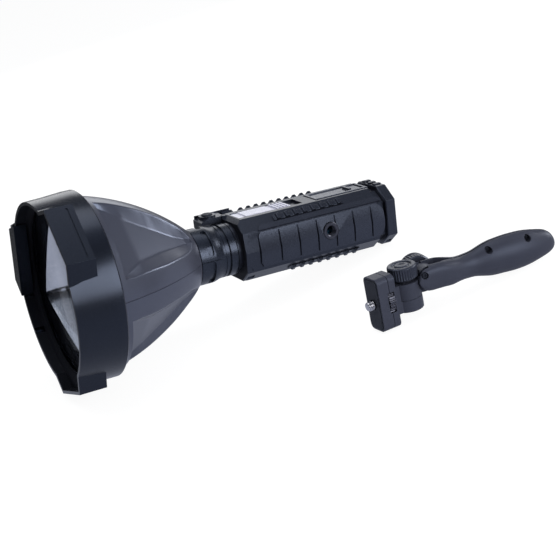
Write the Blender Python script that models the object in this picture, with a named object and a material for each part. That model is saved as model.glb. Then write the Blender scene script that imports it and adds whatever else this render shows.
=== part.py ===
"""Handheld searchlight with its detachable grip.

The light is modelled along its own axis: X runs from the rim of the bezel to the tail, Y to the far
side and Z up through the slide switch. It is then laid on the table as it comes to rest, on a bezel pad
and the rear edge of the battery body, so the axis slopes down towards the tail. The grip is modelled
the same way, X from its mounting face to the end of the handle, and stands beside the light.
"""

import bpy
import bmesh
from math import asin, atan, atan2, cos, hypot, pi, radians, sin, sqrt
from mathutils import Vector

# Driving dimensions of the head, in metres

head_radius = 0.0630
bezel_length = 0.0328
bezel_wall = 0.0022
band_radius = 0.0645
band_start = 0.0206
pad_reach = 0.0679
pad_half_width = 0.0214
pad_foot_half_width = 0.0289
pad_root_share = 1.12
pad_length = 0.0189
pad_count = 3
pad_turn = radians(16)
lens_depth = 0.0110
lens_thickness = 0.0030
lens_lip = 0.0036
gasket_thickness = 0.0010
baffle_thickness = 0.0014
reflector_corner_radius = 0.0546
reflector_wall = 0.0014
bell_front_radius = 0.0603
bell_end = 0.1050
bell_end_radius = 0.0206
bell_bulge = 0.0058
bell_wall = 0.0026
petal_count = 4
petal_half_width = 0.0290
petal_reach = 0.0490
petal_front_margin = 0.0044
petal_rear_margin = 0.0040
petal_wall_lean = 0.0100
led_position = 0.0620
led_size = 0.0070
led_height = 0.0012
led_board_radius = 0.0130
led_board_thickness = 0.0016
heat_sink_radius = 0.0250
heat_sink_core_radius = 0.0100
heat_sink_flange = 0.0030
fin_radius = 0.0200
fin_thickness = 0.0016
fin_count = 5

# Driving dimensions of the neck

neck_setback = 0.0030
neck_front_radius = 0.0202
neck_rear_radius = 0.0186
neck_wall = 0.0030
neck_slot_start = 0.1115
neck_slot_width = 0.0042
neck_slot_depth = 0.0012
neck_slot_count = 5
neck_slot_share = 0.84
neck_slot_turn = radians(-7.4)
neck_groove_position = 0.1277
neck_groove_width = 0.0018
neck_groove_depth = 0.0013
spigot_length = 0.0130
spigot_wall = 0.0024

# Driving dimensions of the battery body

body_start = 0.1370
body_end = 0.2608
body_half_width = 0.0243
body_half_height = 0.0222
body_side_half = 0.0132
body_top_half = 0.0127
body_wall = 0.0026
front_cap_thickness = 0.0040
end_cap_thickness = 0.0082
end_cap_wall = 0.0032
waist_length = 0.0065
waist_depth = 0.0034
bump_count = 3
bump_pitch = 0.0070
bump_width = 0.0034
bump_height = 0.0010
edge_bevel = 0.0006

# Driving dimensions of the rails

tooth_length = 0.0038
tooth_lean = 0.0008
rail_width = 0.0046
rail_margin = 0.0020
far_rail_foot = 0.0022
far_tooth_height = 0.0020
far_tooth_start = 0.1547
far_tooth_pitch = 0.0063
far_tooth_count = 10
far_bar_length = 0.0080
far_rail_tail = 0.0110
near_rail_foot = 0.0008
near_tooth_height = 0.0014
near_rail_shift = 0.0018
near_tooth_start = 0.1660
near_tooth_pitch = 0.0070
near_tooth_count = 8
bottom_tooth_start = 0.1735
bottom_tooth_pitch = 0.0073
bottom_tooth_count = 8

# Driving dimensions of the side panels and the side socket

panel_start = 0.1480
panel_end = 0.2500
panel_top = 0.0130
panel_bottom = -0.0120
panel_crease = 0.0008
panel_proud = 0.0012
panel_sink = 0.0012
panel_lean = 0.0010
panel_front_slant = 0.0030
panel_rear_radius = 0.0080
panel_groove_start = 0.1642
panel_groove_pitch = 0.0150
panel_groove_count = 6
panel_groove_width = 0.0012
panel_groove_depth = 0.0010
socket_position = 0.2048
socket_height = 0.0018
socket_radius = 0.0061
socket_shank_radius = 0.0050
socket_bore_radius = 0.0033
socket_depth = 0.0055
socket_proud = 0.0004

# Driving dimensions of the switches and the top cover

slide_start = 0.1412
slide_end = 0.1850
slide_half_width = 0.0078
slide_thickness = 0.0012
slide_panel_start = 0.1484
slide_panel_end = 0.1700
slide_panel_half_width = 0.0070
slide_panel_height = 0.0006
slide_rib_count = 4
slide_rib_pitch = 0.0028
slide_rib_width = 0.0014
slide_rib_height = 0.0010
slide_travel = 0.0080
slide_channel_depth = 0.0020
slide_stem_length = 0.0060
slide_stem_half_width = 0.0020
button_position = 0.1290
button_aside = 0.0170
button_radius = 0.0040
button_collar_radius = 0.0062
button_collar_height = 0.0010
button_height = 0.0010
button_well_depth = 0.0050
button_flange = 0.0006
button_flange_thickness = 0.0010
housing_length = 0.0160
housing_half_width = 0.0072
housing_base = 0.0100
housing_slant = 0.0040
cover_start = 0.2034
cover_end = 0.2475
cover_half_width = 0.0096
cover_sink = 0.0014
cover_proud = 0.0006
cover_recess = 0.0008
cover_rim = 0.0022
catch_start = 0.2340
catch_length = 0.0022
catch_height = 0.0007

# Driving dimensions of what the body holds

cell_room = 0.0030
cell_length = 0.0650
cell_start = 0.1770
cell_cap_radius = 0.0030
cell_cap_height = 0.0012
cradle_wall = 0.0016
board_thickness = 0.0016
board_start = 0.1440
board_length = 0.0560
board_half_width = 0.0110
screw_radius = 0.0016
screw_head_radius = 0.0028
screw_head_height = 0.0016
screw_length = 0.0070
screw_aside = 0.0140
screw_aloft = 0.0122
tail_room_radius = 0.0152

# Driving dimensions of the grip's mount and knuckle

block_height = 0.0357
block_width = 0.0160
block_front = 0.0080
block_back = 0.0049
block_corner_radius = 0.0036
face_thickness = 0.0010
face_border = 0.0016
mount_thread_radius = 0.003175
mount_thread_length = 0.0048
mount_shank_radius = 0.0024
wheel_position = 0.0089
wheel_radius = 0.0094
wheel_thickness = 0.0042
wheel_notch_count = 14
wheel_notch_depth = 0.0008
window_height = 0.0136
swivel_position = 0.0249
barrel_radius = 0.0102
web_width = 0.0130
web_base = 0.0072
lug_height = 0.0080
barrel_height = 0.0107
bolt_radius = 0.0025
bolt_head_radius = 0.0045
bolt_head_height = 0.0026
knob_radius = 0.0097
knob_height = 0.0090
knob_rib_count = 18
knob_rib_depth = 0.0004
washer_thickness = 0.0009
washer_radius = 0.0070
knob_groove_radius = 0.0062
knob_groove_width = 0.0012
knob_groove_depth = 0.0006
handle_swing = radians(-11)
handle_rise = 0.0036
tilt_distance = 0.0152
tongue_width = 0.0090
tongue_radius = 0.0076
cheek_thickness = 0.00545
cheek_radius = 0.0087
cheek_steps = 5
cheek_screw_share = 0.66
cheek_screw_turn = radians(42)
tilt_knob_radius = 0.0108
tilt_knob_height = 0.0095

# Driving dimensions of the handle

handle_end = 0.1083
handle_belly_radius = 0.0125
handle_profile_shares = (
    (0, 0, 0.695, 0.825, 1), (0.10, -0.02, 0.70, 0.82, 0.9), (0.16, -0.08, 0.68, 0.79, 0.7),
    (0.24, -0.13, 0.60, 0.68, 0.4), (0.30, -0.13, 0.63, 0.62, 0.2), (0.363, -0.12, 0.70, 0.63, 0),
    (0.48, -0.11, 0.92, 0.76, 0), (0.578, -0.10, 0.98, 0.82, 0), (0.664, -0.11, 1, 0.84, 0),
    (0.761, -0.11, 0.96, 0.80, 0), (0.846, -0.11, 0.84, 0.71, 0), (0.932, -0.12, 0.67, 0.56, 0),
    (0.97, -0.15, 0.51, 0.44, 0), (0.99, -0.19, 0.33, 0.30, 0), (1, -0.22, 0.14, 0.12, 0))
handle_wall = 0.0022
fork_depth = 0.0120
handle_sides = 16
screw_rise_share = 0.68
fork_margin = 0.0012
shell_screw_places_shares = (0.465, 0.766)
screw_recess_radius = 0.0023
shell_screw_floor = 0.0026
shell_screw_radius = 0.0011
shell_screw_head = 0.0011
shell_screw_head_radius = 0.0019
boss_radius = 0.0040

# Where the grip stands beside the light

grip_along = 0.1633
grip_aside = -0.1299
grip_yaw = radians(1.5)

# Clearances and the fineness of round surfaces

gap = 0.0003
running_gap = 0.0004
overrun = 0.0020
weld = 0.00002
head_sides = 48
neck_sides = 26
small_sides = 14
screw_sides = 10


def clear_scene():
    """Start from an empty file."""
    for leftover in list(bpy.data.objects):
        bpy.data.objects.remove(leftover, do_unlink=True)


def look(name, colour, roughness, metallic=0):
    """One Principled material."""
    material = bpy.data.materials.get(name) or bpy.data.materials.new(name)
    material.use_nodes = True
    shader = material.node_tree.nodes["Principled BSDF"]
    shader.inputs["Base Color"].default_value = (*colour, 1)
    shader.inputs["Roughness"].default_value = roughness
    shader.inputs["Metallic"].default_value = metallic
    material.diffuse_color = (*colour, 1)
    return material


def black_nylon():
    return look("black_nylon", (0.020, 0.022, 0.028), 0.42)


def satin_anodised():
    return look("satin_anodised", (0.022, 0.024, 0.030), 0.30)


def glossy_shell():
    return look("glossy_shell", (0.045, 0.048, 0.060), 0.22)


def soft_rubber():
    return look("soft_rubber", (0.030, 0.032, 0.036), 0.70)


def clear_glass():
    return look("clear_glass", (0.90, 0.93, 0.95), 0.03)


def polished_reflector():
    return look("polished_reflector", (0.86, 0.87, 0.89), 0.10, 1)


def plain_aluminium():
    return look("plain_aluminium", (0.60, 0.61, 0.62), 0.38, 1)


def bright_steel():
    return look("bright_steel", (0.72, 0.72, 0.72), 0.20, 1)


def black_steel():
    return look("black_steel", (0.040, 0.040, 0.045), 0.30, 1)


def board_green():
    return look("board_green", (0.020, 0.120, 0.060), 0.50)


def emitter_yellow():
    return look("emitter_yellow", (0.85, 0.72, 0.25), 0.40)


def satin_grip():
    return look("satin_grip", (0.055, 0.060, 0.080), 0.45)


def cell_wrap():
    return look("cell_wrap", (0.050, 0.160, 0.300), 0.40)


def switch_silver():
    return look("switch_silver", (0.42, 0.43, 0.45), 0.35, 0.6)


def finish(name, mesh, material):
    """Turn a bmesh into a named object with outward faces."""
    bmesh.ops.recalc_face_normals(mesh, faces=mesh.faces[:])
    data = bpy.data.meshes.new(name)
    mesh.to_mesh(data)
    mesh.free()
    data.materials.append(material)
    piece = bpy.data.objects.new(name, data)
    bpy.context.scene.collection.objects.link(piece)
    return piece


def scrap(mesh):
    """A solid that only cuts or joins another one."""
    return finish("scrap", mesh, black_nylon())


def combine(piece, others, operation):
    """Join, cut or intersect a piece with helper solids, which are then removed."""
    for other in others:
        change = piece.modifiers.new("change", "BOOLEAN")
        change.operation = operation
        change.solver = "EXACT"
        change.object = other
        bpy.context.view_layer.update()
        evaluated = piece.evaluated_get(bpy.context.evaluated_depsgraph_get())
        result = bpy.data.meshes.new_from_object(evaluated)
        material = piece.data.materials[0]
        result.materials.clear()
        result.materials.append(material)
        piece.modifiers.clear()
        piece.data = result
        bpy.data.objects.remove(other, do_unlink=True)
        weld_slivers(result)
    return piece


def weld_slivers(data):
    """Merge points that a cut has left closer together than the weld."""
    mesh = bmesh.new()
    mesh.from_mesh(data)
    bmesh.ops.remove_doubles(mesh, verts=mesh.verts[:], dist=weld)
    bmesh.ops.dissolve_degenerate(mesh, edges=mesh.edges[:], dist=weld)
    mesh.to_mesh(data)
    mesh.free()


def cut(piece, *others):
    return combine(piece, others, "DIFFERENCE")


def fuse(piece, *others):
    return combine(piece, others, "UNION")


def keep_inside(piece, *others):
    return combine(piece, others, "INTERSECT")


def axis_point(axis, along, first, second):
    """A point from its place along an axis and its two other coordinates, in X, Y, Z order."""
    if axis == "X":
        return Vector((along, first, second))
    if axis == "Y":
        return Vector((first, along, second))
    return Vector((first, second, along))


def bridge(mesh, rings, closed):
    """Faces between successive rings of points, whose ends are capped or joined to each other."""
    pairs = list(zip(rings, rings[1:]))
    if closed:
        pairs.append((rings[-1], rings[0]))
    for first, second in pairs:
        count = max(len(first), len(second))
        if count == 1:
            continue
        for step in range(count):
            after = (step + 1) % count
            corners = []
            for ring, place in ((first, step), (first, after), (second, after), (second, step)):
                corner = ring[place % len(ring)]
                if corner not in corners:
                    corners.append(corner)
            mesh.faces.new(corners)
    if not closed:
        for ring in (rings[0], rings[-1]):
            if len(ring) > 2:
                mesh.faces.new(ring)


def turned(outline, sides, axis="X", centre=(0, 0)):
    """A closed outline of (place along the axis, radius) points, turned about that axis."""
    mesh = bmesh.new()
    rings = []
    for along, radius in outline:
        if radius == 0:
            rings.append([mesh.verts.new(axis_point(axis, along, *centre))])
            continue
        ring = []
        for step in range(sides):
            turn = 2 * pi * step / sides
            ring.append(mesh.verts.new(axis_point(axis, along, centre[0] + radius * sin(turn),
                                                  centre[1] + radius * cos(turn))))
        rings.append(ring)
    bridge(mesh, rings, closed=True)
    return mesh


def rod(low, high, radius, sides, axis="X", centre=(0, 0)):
    """A plain cylinder."""
    return turned([(low, 0), (low, radius), (high, radius), (high, 0)], sides, axis, centre)


def extruded(outline, low, high, axis="X"):
    """An outline drawn in the plane across an axis, extruded along that axis."""
    mesh = bmesh.new()
    rings = []
    for along in (low, high):
        rings.append([mesh.verts.new(axis_point(axis, along, *point)) for point in outline])
    bridge(mesh, rings, closed=False)
    return mesh


def lofted(sections):
    """A solid through a row of like outlines of points in space."""
    mesh = bmesh.new()
    bridge(mesh, [[mesh.verts.new(point) for point in section] for section in sections], closed=False)
    return mesh


def block(low, high):
    """A box between two opposite corners."""
    outline = [(low[1], low[2]), (high[1], low[2]), (high[1], high[2]), (low[1], high[2])]
    return extruded(outline, low[0], high[0])


def bevelled(mesh, width):
    """Small chamfers on all the edges of a convex solid."""
    bmesh.ops.recalc_face_normals(mesh, faces=mesh.faces[:])
    bmesh.ops.bevel(mesh, geom=mesh.edges[:], offset=width, segments=1, affect="EDGES", profile=0.5)
    return mesh


def joined(*meshes):
    """Several loose solids that don't touch, as one helper."""
    whole = bmesh.new()
    for mesh in meshes:
        data = bpy.data.meshes.new("scrap")
        bmesh.ops.recalc_face_normals(mesh, faces=mesh.faces[:])
        mesh.to_mesh(data)
        whole.from_mesh(data)
        mesh.free()
        bpy.data.meshes.remove(data)
    return whole


def arc(centre, radius, start, end, steps):
    """Points of an arc, both ends included."""
    points = []
    for step in range(steps + 1):
        turn = start + (end - start) * step / steps
        points.append((centre[0] + radius * cos(turn), centre[1] + radius * sin(turn)))
    return points


def rounded_rectangle(half_width, low, high, radius, steps=4):
    """A rectangle with round corners, centred across and drawn from low to high."""
    points = []
    for side, level, start in ((1, high - radius, 0), (-1, high - radius, pi / 2),
                               (-1, low + radius, pi), (1, low + radius, 3 * pi / 2)):
        points += arc((side * (half_width - radius), level), radius, start, start + pi / 2, steps)
    return points


def octagon(inset=0):
    """The body's cross-section, every flat moved inwards by the inset."""
    side_run = body_half_width - body_top_half
    side_rise = body_half_height - body_side_half
    slope = hypot(side_run, side_rise)
    corner_in = inset * (slope - side_rise) / side_run
    corner_down = inset * (slope - side_run) / side_rise
    top = (body_top_half - corner_in, body_half_height - inset)
    side = (body_half_width - inset, body_side_half - corner_down)
    quarter = [side, top]
    return (quarter + [(-y, z) for y, z in reversed(quarter)] + [(-y, -z) for y, z in quarter]
            + [(y, -z) for y, z in reversed(quarter)])


def ring_sector(low, high, inner, outer, start, end, steps):
    """Part of a ring about the X axis, between two angles measured from straight up."""
    outline = []
    for radius, first, last in ((outer, start, end), (inner, end, start)):
        for step in range(steps + 1):
            turn = first + (last - first) * step / steps
            outline.append((radius * sin(turn), radius * cos(turn)))
    return extruded(outline, low, high)


# The searchlight's head

def pad_angles():
    """Pad directions, measured from straight down towards the near side."""
    return [pad_turn + 2 * pi * number / pad_count for number in range(pad_count)]


def pad_point(angle, across, reach):
    """A point of the cross-section given along and across one pad's own direction."""
    return (-reach * sin(angle) - across * cos(angle), -reach * cos(angle) + across * sin(angle))


def pad_prism(angle, low, high, inset=0):
    """A pad: flat outside, with end faces that lean down into the round rim."""
    reach = pad_reach - inset
    half = pad_half_width - inset / 2
    foot_half = pad_foot_half_width - inset
    foot = sqrt((head_radius - inset) ** 2 - foot_half ** 2)
    foot_half = half + (foot_half - half) * pad_root_share
    foot = reach + (foot - reach) * pad_root_share
    outline = [pad_point(angle, -half, reach), pad_point(angle, half, reach),
               pad_point(angle, foot_half, foot), pad_point(angle, -foot_half, foot)]
    return extruded(outline, low, high)


def lens_place():
    """Front and back of each layer that the bezel clamps: lens, gasket, baffle, reflector flange."""
    layers = []
    start = lens_depth
    for thickness in (lens_thickness, gasket_thickness, baffle_thickness, reflector_wall):
        layers.append((start, start + thickness))
        start += thickness + gap
    return layers


def shell_front():
    """Front rim of the head shell, against the reflector's flange."""
    return lens_place()[-1][1] + gap


def bore_radius():
    return head_radius - bezel_wall


def make_bezel_ring():
    """The bezel: a thin ring with three flat pads, a lip that holds the lens and a wider rear band."""
    outline = [(0, 0), (0, head_radius), (band_start, head_radius), (band_start, band_radius),
               (bezel_length - edge_bevel, band_radius), (bezel_length, band_radius - edge_bevel),
               (bezel_length, 0)]
    ring = finish("bezel_ring", turned(outline, head_sides), satin_anodised())
    pads = [scrap(pad_prism(angle, 0, pad_length)) for angle in pad_angles()]
    fuse(ring, *pads)
    lip_back = lens_depth - gap
    lip_front = lip_back - lens_lip
    bore = [(-overrun, 0), (-overrun, bore_radius()), (lip_front, bore_radius()),
            (lip_front + lens_lip / 2, bore_radius() - lens_lip), (lip_back, bore_radius() - lens_lip),
            (lip_back, bore_radius()), (bezel_length + overrun, bore_radius()), (bezel_length + overrun, 0)]
    cut(ring, scrap(turned(bore, head_sides)))
    pockets = [scrap(pad_prism(angle, -overrun, lip_front - gap, bezel_wall)) for angle in pad_angles()]
    return cut(ring, *pockets)


def make_lens():
    """The flat front glass."""
    front, back = lens_place()[0]
    radius = bore_radius() - gap
    outline = [(front, 0), (front, radius - edge_bevel), (front + edge_bevel, radius), (back, radius),
               (back, 0)]
    return finish("lens", turned(outline, head_sides), clear_glass())


def make_lens_gasket():
    """The flat seal between the lens and the baffle."""
    front, back = lens_place()[1]
    outer = bore_radius() - gap
    inner = outer - lens_lip
    outline = [(front, inner), (front, outer), (back, outer), (back, inner)]
    return finish("lens_gasket", turned(outline, head_sides), soft_rubber())


def square_section(place, corner_radius):
    """A square across the axis, one corner pointing at the first pad."""
    points = []
    for number in range(4):
        turn = pad_turn + pi / 2 * number
        points.append(Vector((place, -corner_radius * sin(turn), -corner_radius * cos(turn))))
    return points


def make_lens_baffle():
    """The black mask round the reflector's square mouth."""
    front, back = lens_place()[2]
    outer = bore_radius() - gap
    outline = [(front, 0), (front, outer), (back, outer), (back, 0)]
    mask = finish("lens_baffle", turned(outline, head_sides), black_nylon())
    mouth = lofted([square_section(place, reflector_corner_radius)
                    for place in (front - overrun, back + overrun)])
    return cut(mask, scrap(mouth))


def reflector_steps():
    """Places and corner radii of the reflector's facets, from its mouth to the LED."""
    mouth, _ = lens_place()[3]
    depth = led_position - mouth
    depth_shares = (0, 0.16, 0.55, 1)
    radius_shares = (1, 0.84, 0.55, 0.20)
    return [(mouth + depth * along, reflector_corner_radius * across)
            for along, across in zip(depth_shares, radius_shares)]


def make_reflector():
    """A square-mouthed faceted bowl with a round flange."""
    front, back = lens_place()[3]
    outer = bore_radius() - gap
    flange = [(front, 0), (front, outer), (back, outer), (back, 0)]
    bowl = finish("reflector", turned(flange, head_sides), polished_reflector())
    steps = reflector_steps()
    outside = [square_section(place, radius + reflector_wall * sqrt(2)) for place, radius in steps]
    fuse(bowl, scrap(lofted(outside)))
    inside = [square_section(place, radius) for place, radius in steps]
    inside.insert(0, square_section(front - overrun, reflector_corner_radius))
    inside.append(square_section(led_position + overrun, steps[-1][1]))
    return cut(bowl, scrap(lofted(inside)))


def bell_points(inset=0, steps=8):
    """The bell's bulged side, from the bezel to the neck, or the same line inset."""
    start = Vector((bezel_length + gap, bell_front_radius))
    end = Vector((bell_end, bell_end_radius))
    chord = end - start
    radius = (chord.length ** 2 / 4 + bell_bulge ** 2) / (2 * bell_bulge)
    normal = Vector((-chord.y, chord.x)).normalized()
    centre = (start + end) / 2 - normal * (radius - bell_bulge)
    first = atan2(start.y - centre.y, start.x - centre.x)
    last = atan2(end.y - centre.y, end.x - centre.x)
    return arc(centre, radius - inset, first, last, steps)


def petal_cutter(angle, inset=0):
    """What a flat-floored petal takes out of the bell: a floor in three facets, with leaning walls."""
    points = bell_points()
    start = points[0][0] + petal_front_margin
    end = bell_end - petal_rear_margin
    length = end - start
    place_shares = (0, 0.22, 0.62, 1)
    width_shares = (1, 0.86, 0.58, 0.16)
    floor_shares = (1, 0.95, 0.70, 0.42)
    sections = []
    rise = head_radius
    for place, width, floor in zip(place_shares, width_shares, floor_shares):
        half = petal_half_width * width
        reach = petal_reach * floor - inset
        lean = petal_wall_lean * (rise - reach) / rise
        spread = half + lean + inset
        section = []
        for across, level in ((-half - inset, reach), (half + inset, reach), (spread, rise), (-spread, rise)):
            y, z = pad_point(angle, across, level)
            section.append(Vector((start + length * place, y, z)))
        sections.append(section)
    if inset:
        sections[0] = [point - Vector((inset, 0, 0)) for point in sections[0]]
        sections[-1] = [point + Vector((inset, 0, 0)) for point in sections[-1]]
    return lofted(sections)


def petal_angles():
    return [pi / petal_count + 2 * pi * number / petal_count for number in range(petal_count)]


def spigot_radius():
    """Outside of the spigots that the neck sleeve takes at both ends."""
    return neck_rear_radius - neck_wall - gap


def make_head_shell():
    """The bell between bezel and neck, hollow, with petal recesses that keep its wall."""
    front = shell_front()
    sleeve = bore_radius() - gap
    spigot_end = bell_end + spigot_length
    outline = [(front, 0), (front, sleeve), (bezel_length, sleeve)] + bell_points()
    outline += [(bell_end, spigot_radius()), (spigot_end, spigot_radius()), (spigot_end, 0)]
    shell = finish("head_shell", turned(outline, head_sides), glossy_shell())
    for angle in petal_angles():
        cut(shell, scrap(petal_cutter(angle)))
    inner = bell_points(bell_wall, 4)
    hollow_outline = [(front - overrun, 0), (front - overrun, sleeve - bell_wall),
                      (bezel_length, sleeve - bell_wall)] + inner[1:-1]
    hollow_outline += [(inner[-1][0], spigot_radius() - spigot_wall),
                       (spigot_end + overrun, spigot_radius() - spigot_wall), (spigot_end + overrun, 0)]
    hollow = scrap(turned(hollow_outline, neck_sides))
    for angle in petal_angles():
        cut(hollow, scrap(petal_cutter(angle, bell_wall)))
    return cut(shell, hollow)


def make_led():
    """The emitter on its round board, behind the reflector's throat."""
    front = led_position + gap
    half = led_size / 2
    emitter = finish("led_emitter", block((front, -half, -half), (front + led_height, half, half)),
                     emitter_yellow())
    board_front = front + led_height + gap
    board = finish("led_board", rod(board_front, board_front + led_board_thickness, led_board_radius,
                                    neck_sides), board_green())
    return emitter, board


def make_heat_sink():
    """A finned cooler: a disc behind the LED, fins on a core, and a stem seated in the shell's spigot."""
    start = led_position + led_height + led_board_thickness + 3 * gap
    flange_end = start + heat_sink_flange
    stem_radius = spigot_radius() - spigot_wall - gap
    stem_end = bell_end + spigot_length / 2
    fin_room = bell_end - bell_wall - flange_end
    pitch = fin_room / (fin_count + 1)
    outline = [(start, 0), (start, heat_sink_radius), (flange_end, heat_sink_radius),
               (flange_end, heat_sink_core_radius)]
    for number in range(fin_count):
        fin = flange_end + pitch * (number + 1) - fin_thickness
        reach = fin_radius - (fin_radius - stem_radius) * number / (fin_count - 1)
        outline += [(fin, heat_sink_core_radius), (fin, reach), (fin + fin_thickness, reach),
                    (fin + fin_thickness, heat_sink_core_radius)]
    seat = flange_end + pitch * fin_count + gap
    outline += [(seat, heat_sink_core_radius), (seat, stem_radius), (stem_end, stem_radius), (stem_end, 0)]
    return finish("heat_sink", turned(outline, screw_sides), plain_aluminium())


# The neck

def neck_end():
    """Rear end of the sleeve, a step short of the body's front."""
    return body_start - neck_setback


def make_neck_sleeve():
    """The sleeve between head and body, with a row of slots and a ring groove."""
    start = bell_end + gap
    bore = spigot_radius() + gap
    step = neck_slot_start + neck_slot_width + overrun
    groove = neck_groove_position - neck_groove_width / 2
    floor = neck_rear_radius - neck_groove_depth
    outline = [(start, bore), (start, neck_front_radius), (step, neck_front_radius),
               (step + overrun, neck_rear_radius), (groove, neck_rear_radius), (groove, floor),
               (groove + neck_groove_width, floor), (groove + neck_groove_width, neck_rear_radius),
               (neck_end(), neck_rear_radius), (neck_end(), bore)]
    sleeve = finish("neck_sleeve", turned(outline, neck_sides), satin_anodised())
    pitch = 2 * pi / neck_slot_count
    slots = []
    for number in range(neck_slot_count):
        first = neck_slot_turn + pitch * number
        slots.append(ring_sector(neck_slot_start, neck_slot_start + neck_slot_width,
                                 neck_front_radius - neck_slot_depth, neck_front_radius + overrun,
                                 first, first + pitch * neck_slot_share, 8))
    return cut(sleeve, scrap(joined(*slots)))


# The battery body

def button_housing():
    """The block on the neck that holds the push button, hollowed to clear the neck sleeve."""
    front = body_start - housing_length
    end = body_start + front_cap_thickness / 2
    top = body_half_height - edge_bevel / 2
    slant = housing_slant
    side = [(front, housing_base + slant), (front + slant, housing_base), (end, housing_base), (end, top),
            (front + slant, top), (front, top - slant / 2)]
    low = button_aside - housing_half_width
    high = button_aside + housing_half_width
    housing = scrap(extruded(side, low, high, "Y"))
    return cut(housing, scrap(rod(front - overrun, neck_end() + 2 * gap, neck_front_radius + gap, neck_sides)))


def make_front_cap():
    """The body's front plate, with a spigot into the neck and the housing of the push button."""
    end = body_start + front_cap_thickness
    cap = finish("front_cap", bevelled(extruded(octagon(), body_start, end), edge_bevel), black_nylon())
    start = neck_end() - spigot_length
    spigot = [(start, 0), (start, spigot_radius()), (neck_end() + gap, spigot_radius()),
              (neck_end() + gap, neck_rear_radius), (body_start + overrun, neck_rear_radius),
              (body_start + overrun, 0)]
    fuse(cap, scrap(turned(spigot, neck_sides)), button_housing())
    centre = (button_position, button_aside)
    top = body_half_height + button_collar_height
    fuse(cap, scrap(rod(body_half_height - overrun, top, button_collar_radius, small_sides, "Z", centre)))
    wide = button_radius + button_flange + gap
    lid = body_half_height - button_flange_thickness
    well = [(body_half_height - button_well_depth, 0), (body_half_height - button_well_depth, wide),
            (lid, wide), (lid, button_radius + gap), (top + overrun, button_radius + gap), (top + overrun, 0)]
    cut(cap, scrap(turned(well, small_sides, "Z", centre)))
    return cut(cap, scrap(rod(start - overrun, end + overrun, spigot_radius() - spigot_wall, neck_sides)))


def make_push_button():
    """The rubber-faced push button, held from below by its flange."""
    centre = (button_position, button_aside)
    flange_top = body_half_height - button_flange_thickness - gap
    top = body_half_height + button_collar_height + button_height
    outline = [(flange_top - button_flange_thickness, 0),
               (flange_top - button_flange_thickness, button_radius + button_flange),
               (flange_top, button_radius + button_flange), (flange_top, button_radius),
               (top - edge_bevel, button_radius), (top, button_radius - edge_bevel), (top, 0)]
    return finish("push_button", turned(outline, small_sides, "Z", centre), soft_rubber())


def body_shell_ends():
    return body_start + front_cap_thickness + gap, body_end - end_cap_thickness - gap


def channel_floor():
    """Floor of the slide switch's channel in the body's top."""
    return body_half_height - slide_channel_depth


def panel_floor():
    """How far from the axis the side panels seat."""
    return body_half_width - panel_sink


def make_body_shell():
    """The octagonal tube that holds the cells, with its waist, channel, seats and holes."""
    start, end = body_shell_ends()
    shell = finish("body_shell", extruded(octagon(), start, end), black_nylon())
    waist_start = end - waist_length
    waist_ring = scrap(extruded(octagon(-overrun), waist_start, end + overrun))
    cut(waist_ring, scrap(extruded(octagon(waist_depth), waist_start - overrun, end + 2 * overrun)))
    cut(shell, waist_ring)
    ceiling = channel_floor() - body_wall
    hollow = scrap(extruded(octagon(body_wall), start - overrun, waist_start - overrun))
    keep_inside(hollow, scrap(block((start - 2 * overrun, -body_half_width, -body_half_height),
                                    (waist_start, body_half_width, ceiling))))
    throat = rod(waist_start - 2 * overrun, end + overrun, tail_room_radius, neck_sides)
    cut(shell, hollow, scrap(throat))
    channel = block((slide_start - running_gap, -slide_half_width - running_gap, channel_floor()),
                    (slide_end + slide_travel + running_gap, slide_half_width + running_gap,
                     body_half_height + overrun))
    stem_start, stem_end = stem_ends()
    stem_slot = block((stem_start - running_gap, -slide_stem_half_width - gap, ceiling - overrun),
                      (stem_end + slide_travel + running_gap, slide_stem_half_width + gap,
                       channel_floor() + overrun))
    cover_seat = block((cover_start - gap, -cover_half_width - gap, body_half_height - cover_sink),
                       (cover_end + gap, cover_half_width + gap, body_half_height + overrun))
    cut(shell, scrap(channel), scrap(stem_slot), scrap(cover_seat))
    for side in (-1, 1):
        seat = extruded(panel_outline(gap), side * panel_floor(), side * (body_half_width + overrun), "Y")
        cut(shell, scrap(seat))
    for place in screw_places():
        cut(shell, scrap(rod(cap_seat() - screw_length - overrun, end + overrun, screw_radius + gap,
                             screw_sides, "X", place)))
    hole = rod(-body_half_width - overrun, -body_half_width / 2, socket_shank_radius + gap, small_sides,
               "Y", (socket_position, socket_height))
    return cut(shell, scrap(hole))


def chamfer_frame(side, level):
    """Middle of one chamfer of the body, with its outward and its sideways direction."""
    run = body_half_width - body_top_half
    rise = body_half_height - body_side_half
    slope = hypot(run, rise)
    middle = Vector((side * (body_half_width + body_top_half) / 2,
                     level * (body_half_height + body_side_half) / 2))
    outward = Vector((side * rise / slope, level * run / slope))
    sideways = Vector((side * run / slope, -level * rise / slope))
    return middle, outward, sideways


def make_rail(name, side, level, layout, foot, tooth_height, shift=0, bar=0):
    """A toothed rail on a chamfer: one side view with all its teeth, extruded across."""
    front, start, pitch, count, tail = layout
    end = start + pitch * (count - 1) + tooth_length + tail
    height = foot + tooth_height
    profile = [(front, gap), (front, height if bar else foot)]
    if bar:
        profile += [(front + bar, height), (front + bar + tooth_lean, foot)]
    for number in range(count):
        tooth = start + pitch * number
        profile += [(tooth, foot), (tooth + tooth_lean, height),
                    (tooth + tooth_length - tooth_lean, height), (tooth + tooth_length, foot)]
    profile += [(end, foot), (end, gap)]
    middle, outward, sideways = chamfer_frame(side, level)
    sections = []
    for across in (shift - rail_width / 2, shift + rail_width / 2):
        ring = []
        for along, up in profile:
            place = middle + outward * up - sideways * across
            ring.append(Vector((along, place.x, place.y)))
        sections.append(ring)
    return finish(name, lofted(sections), black_nylon())


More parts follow.
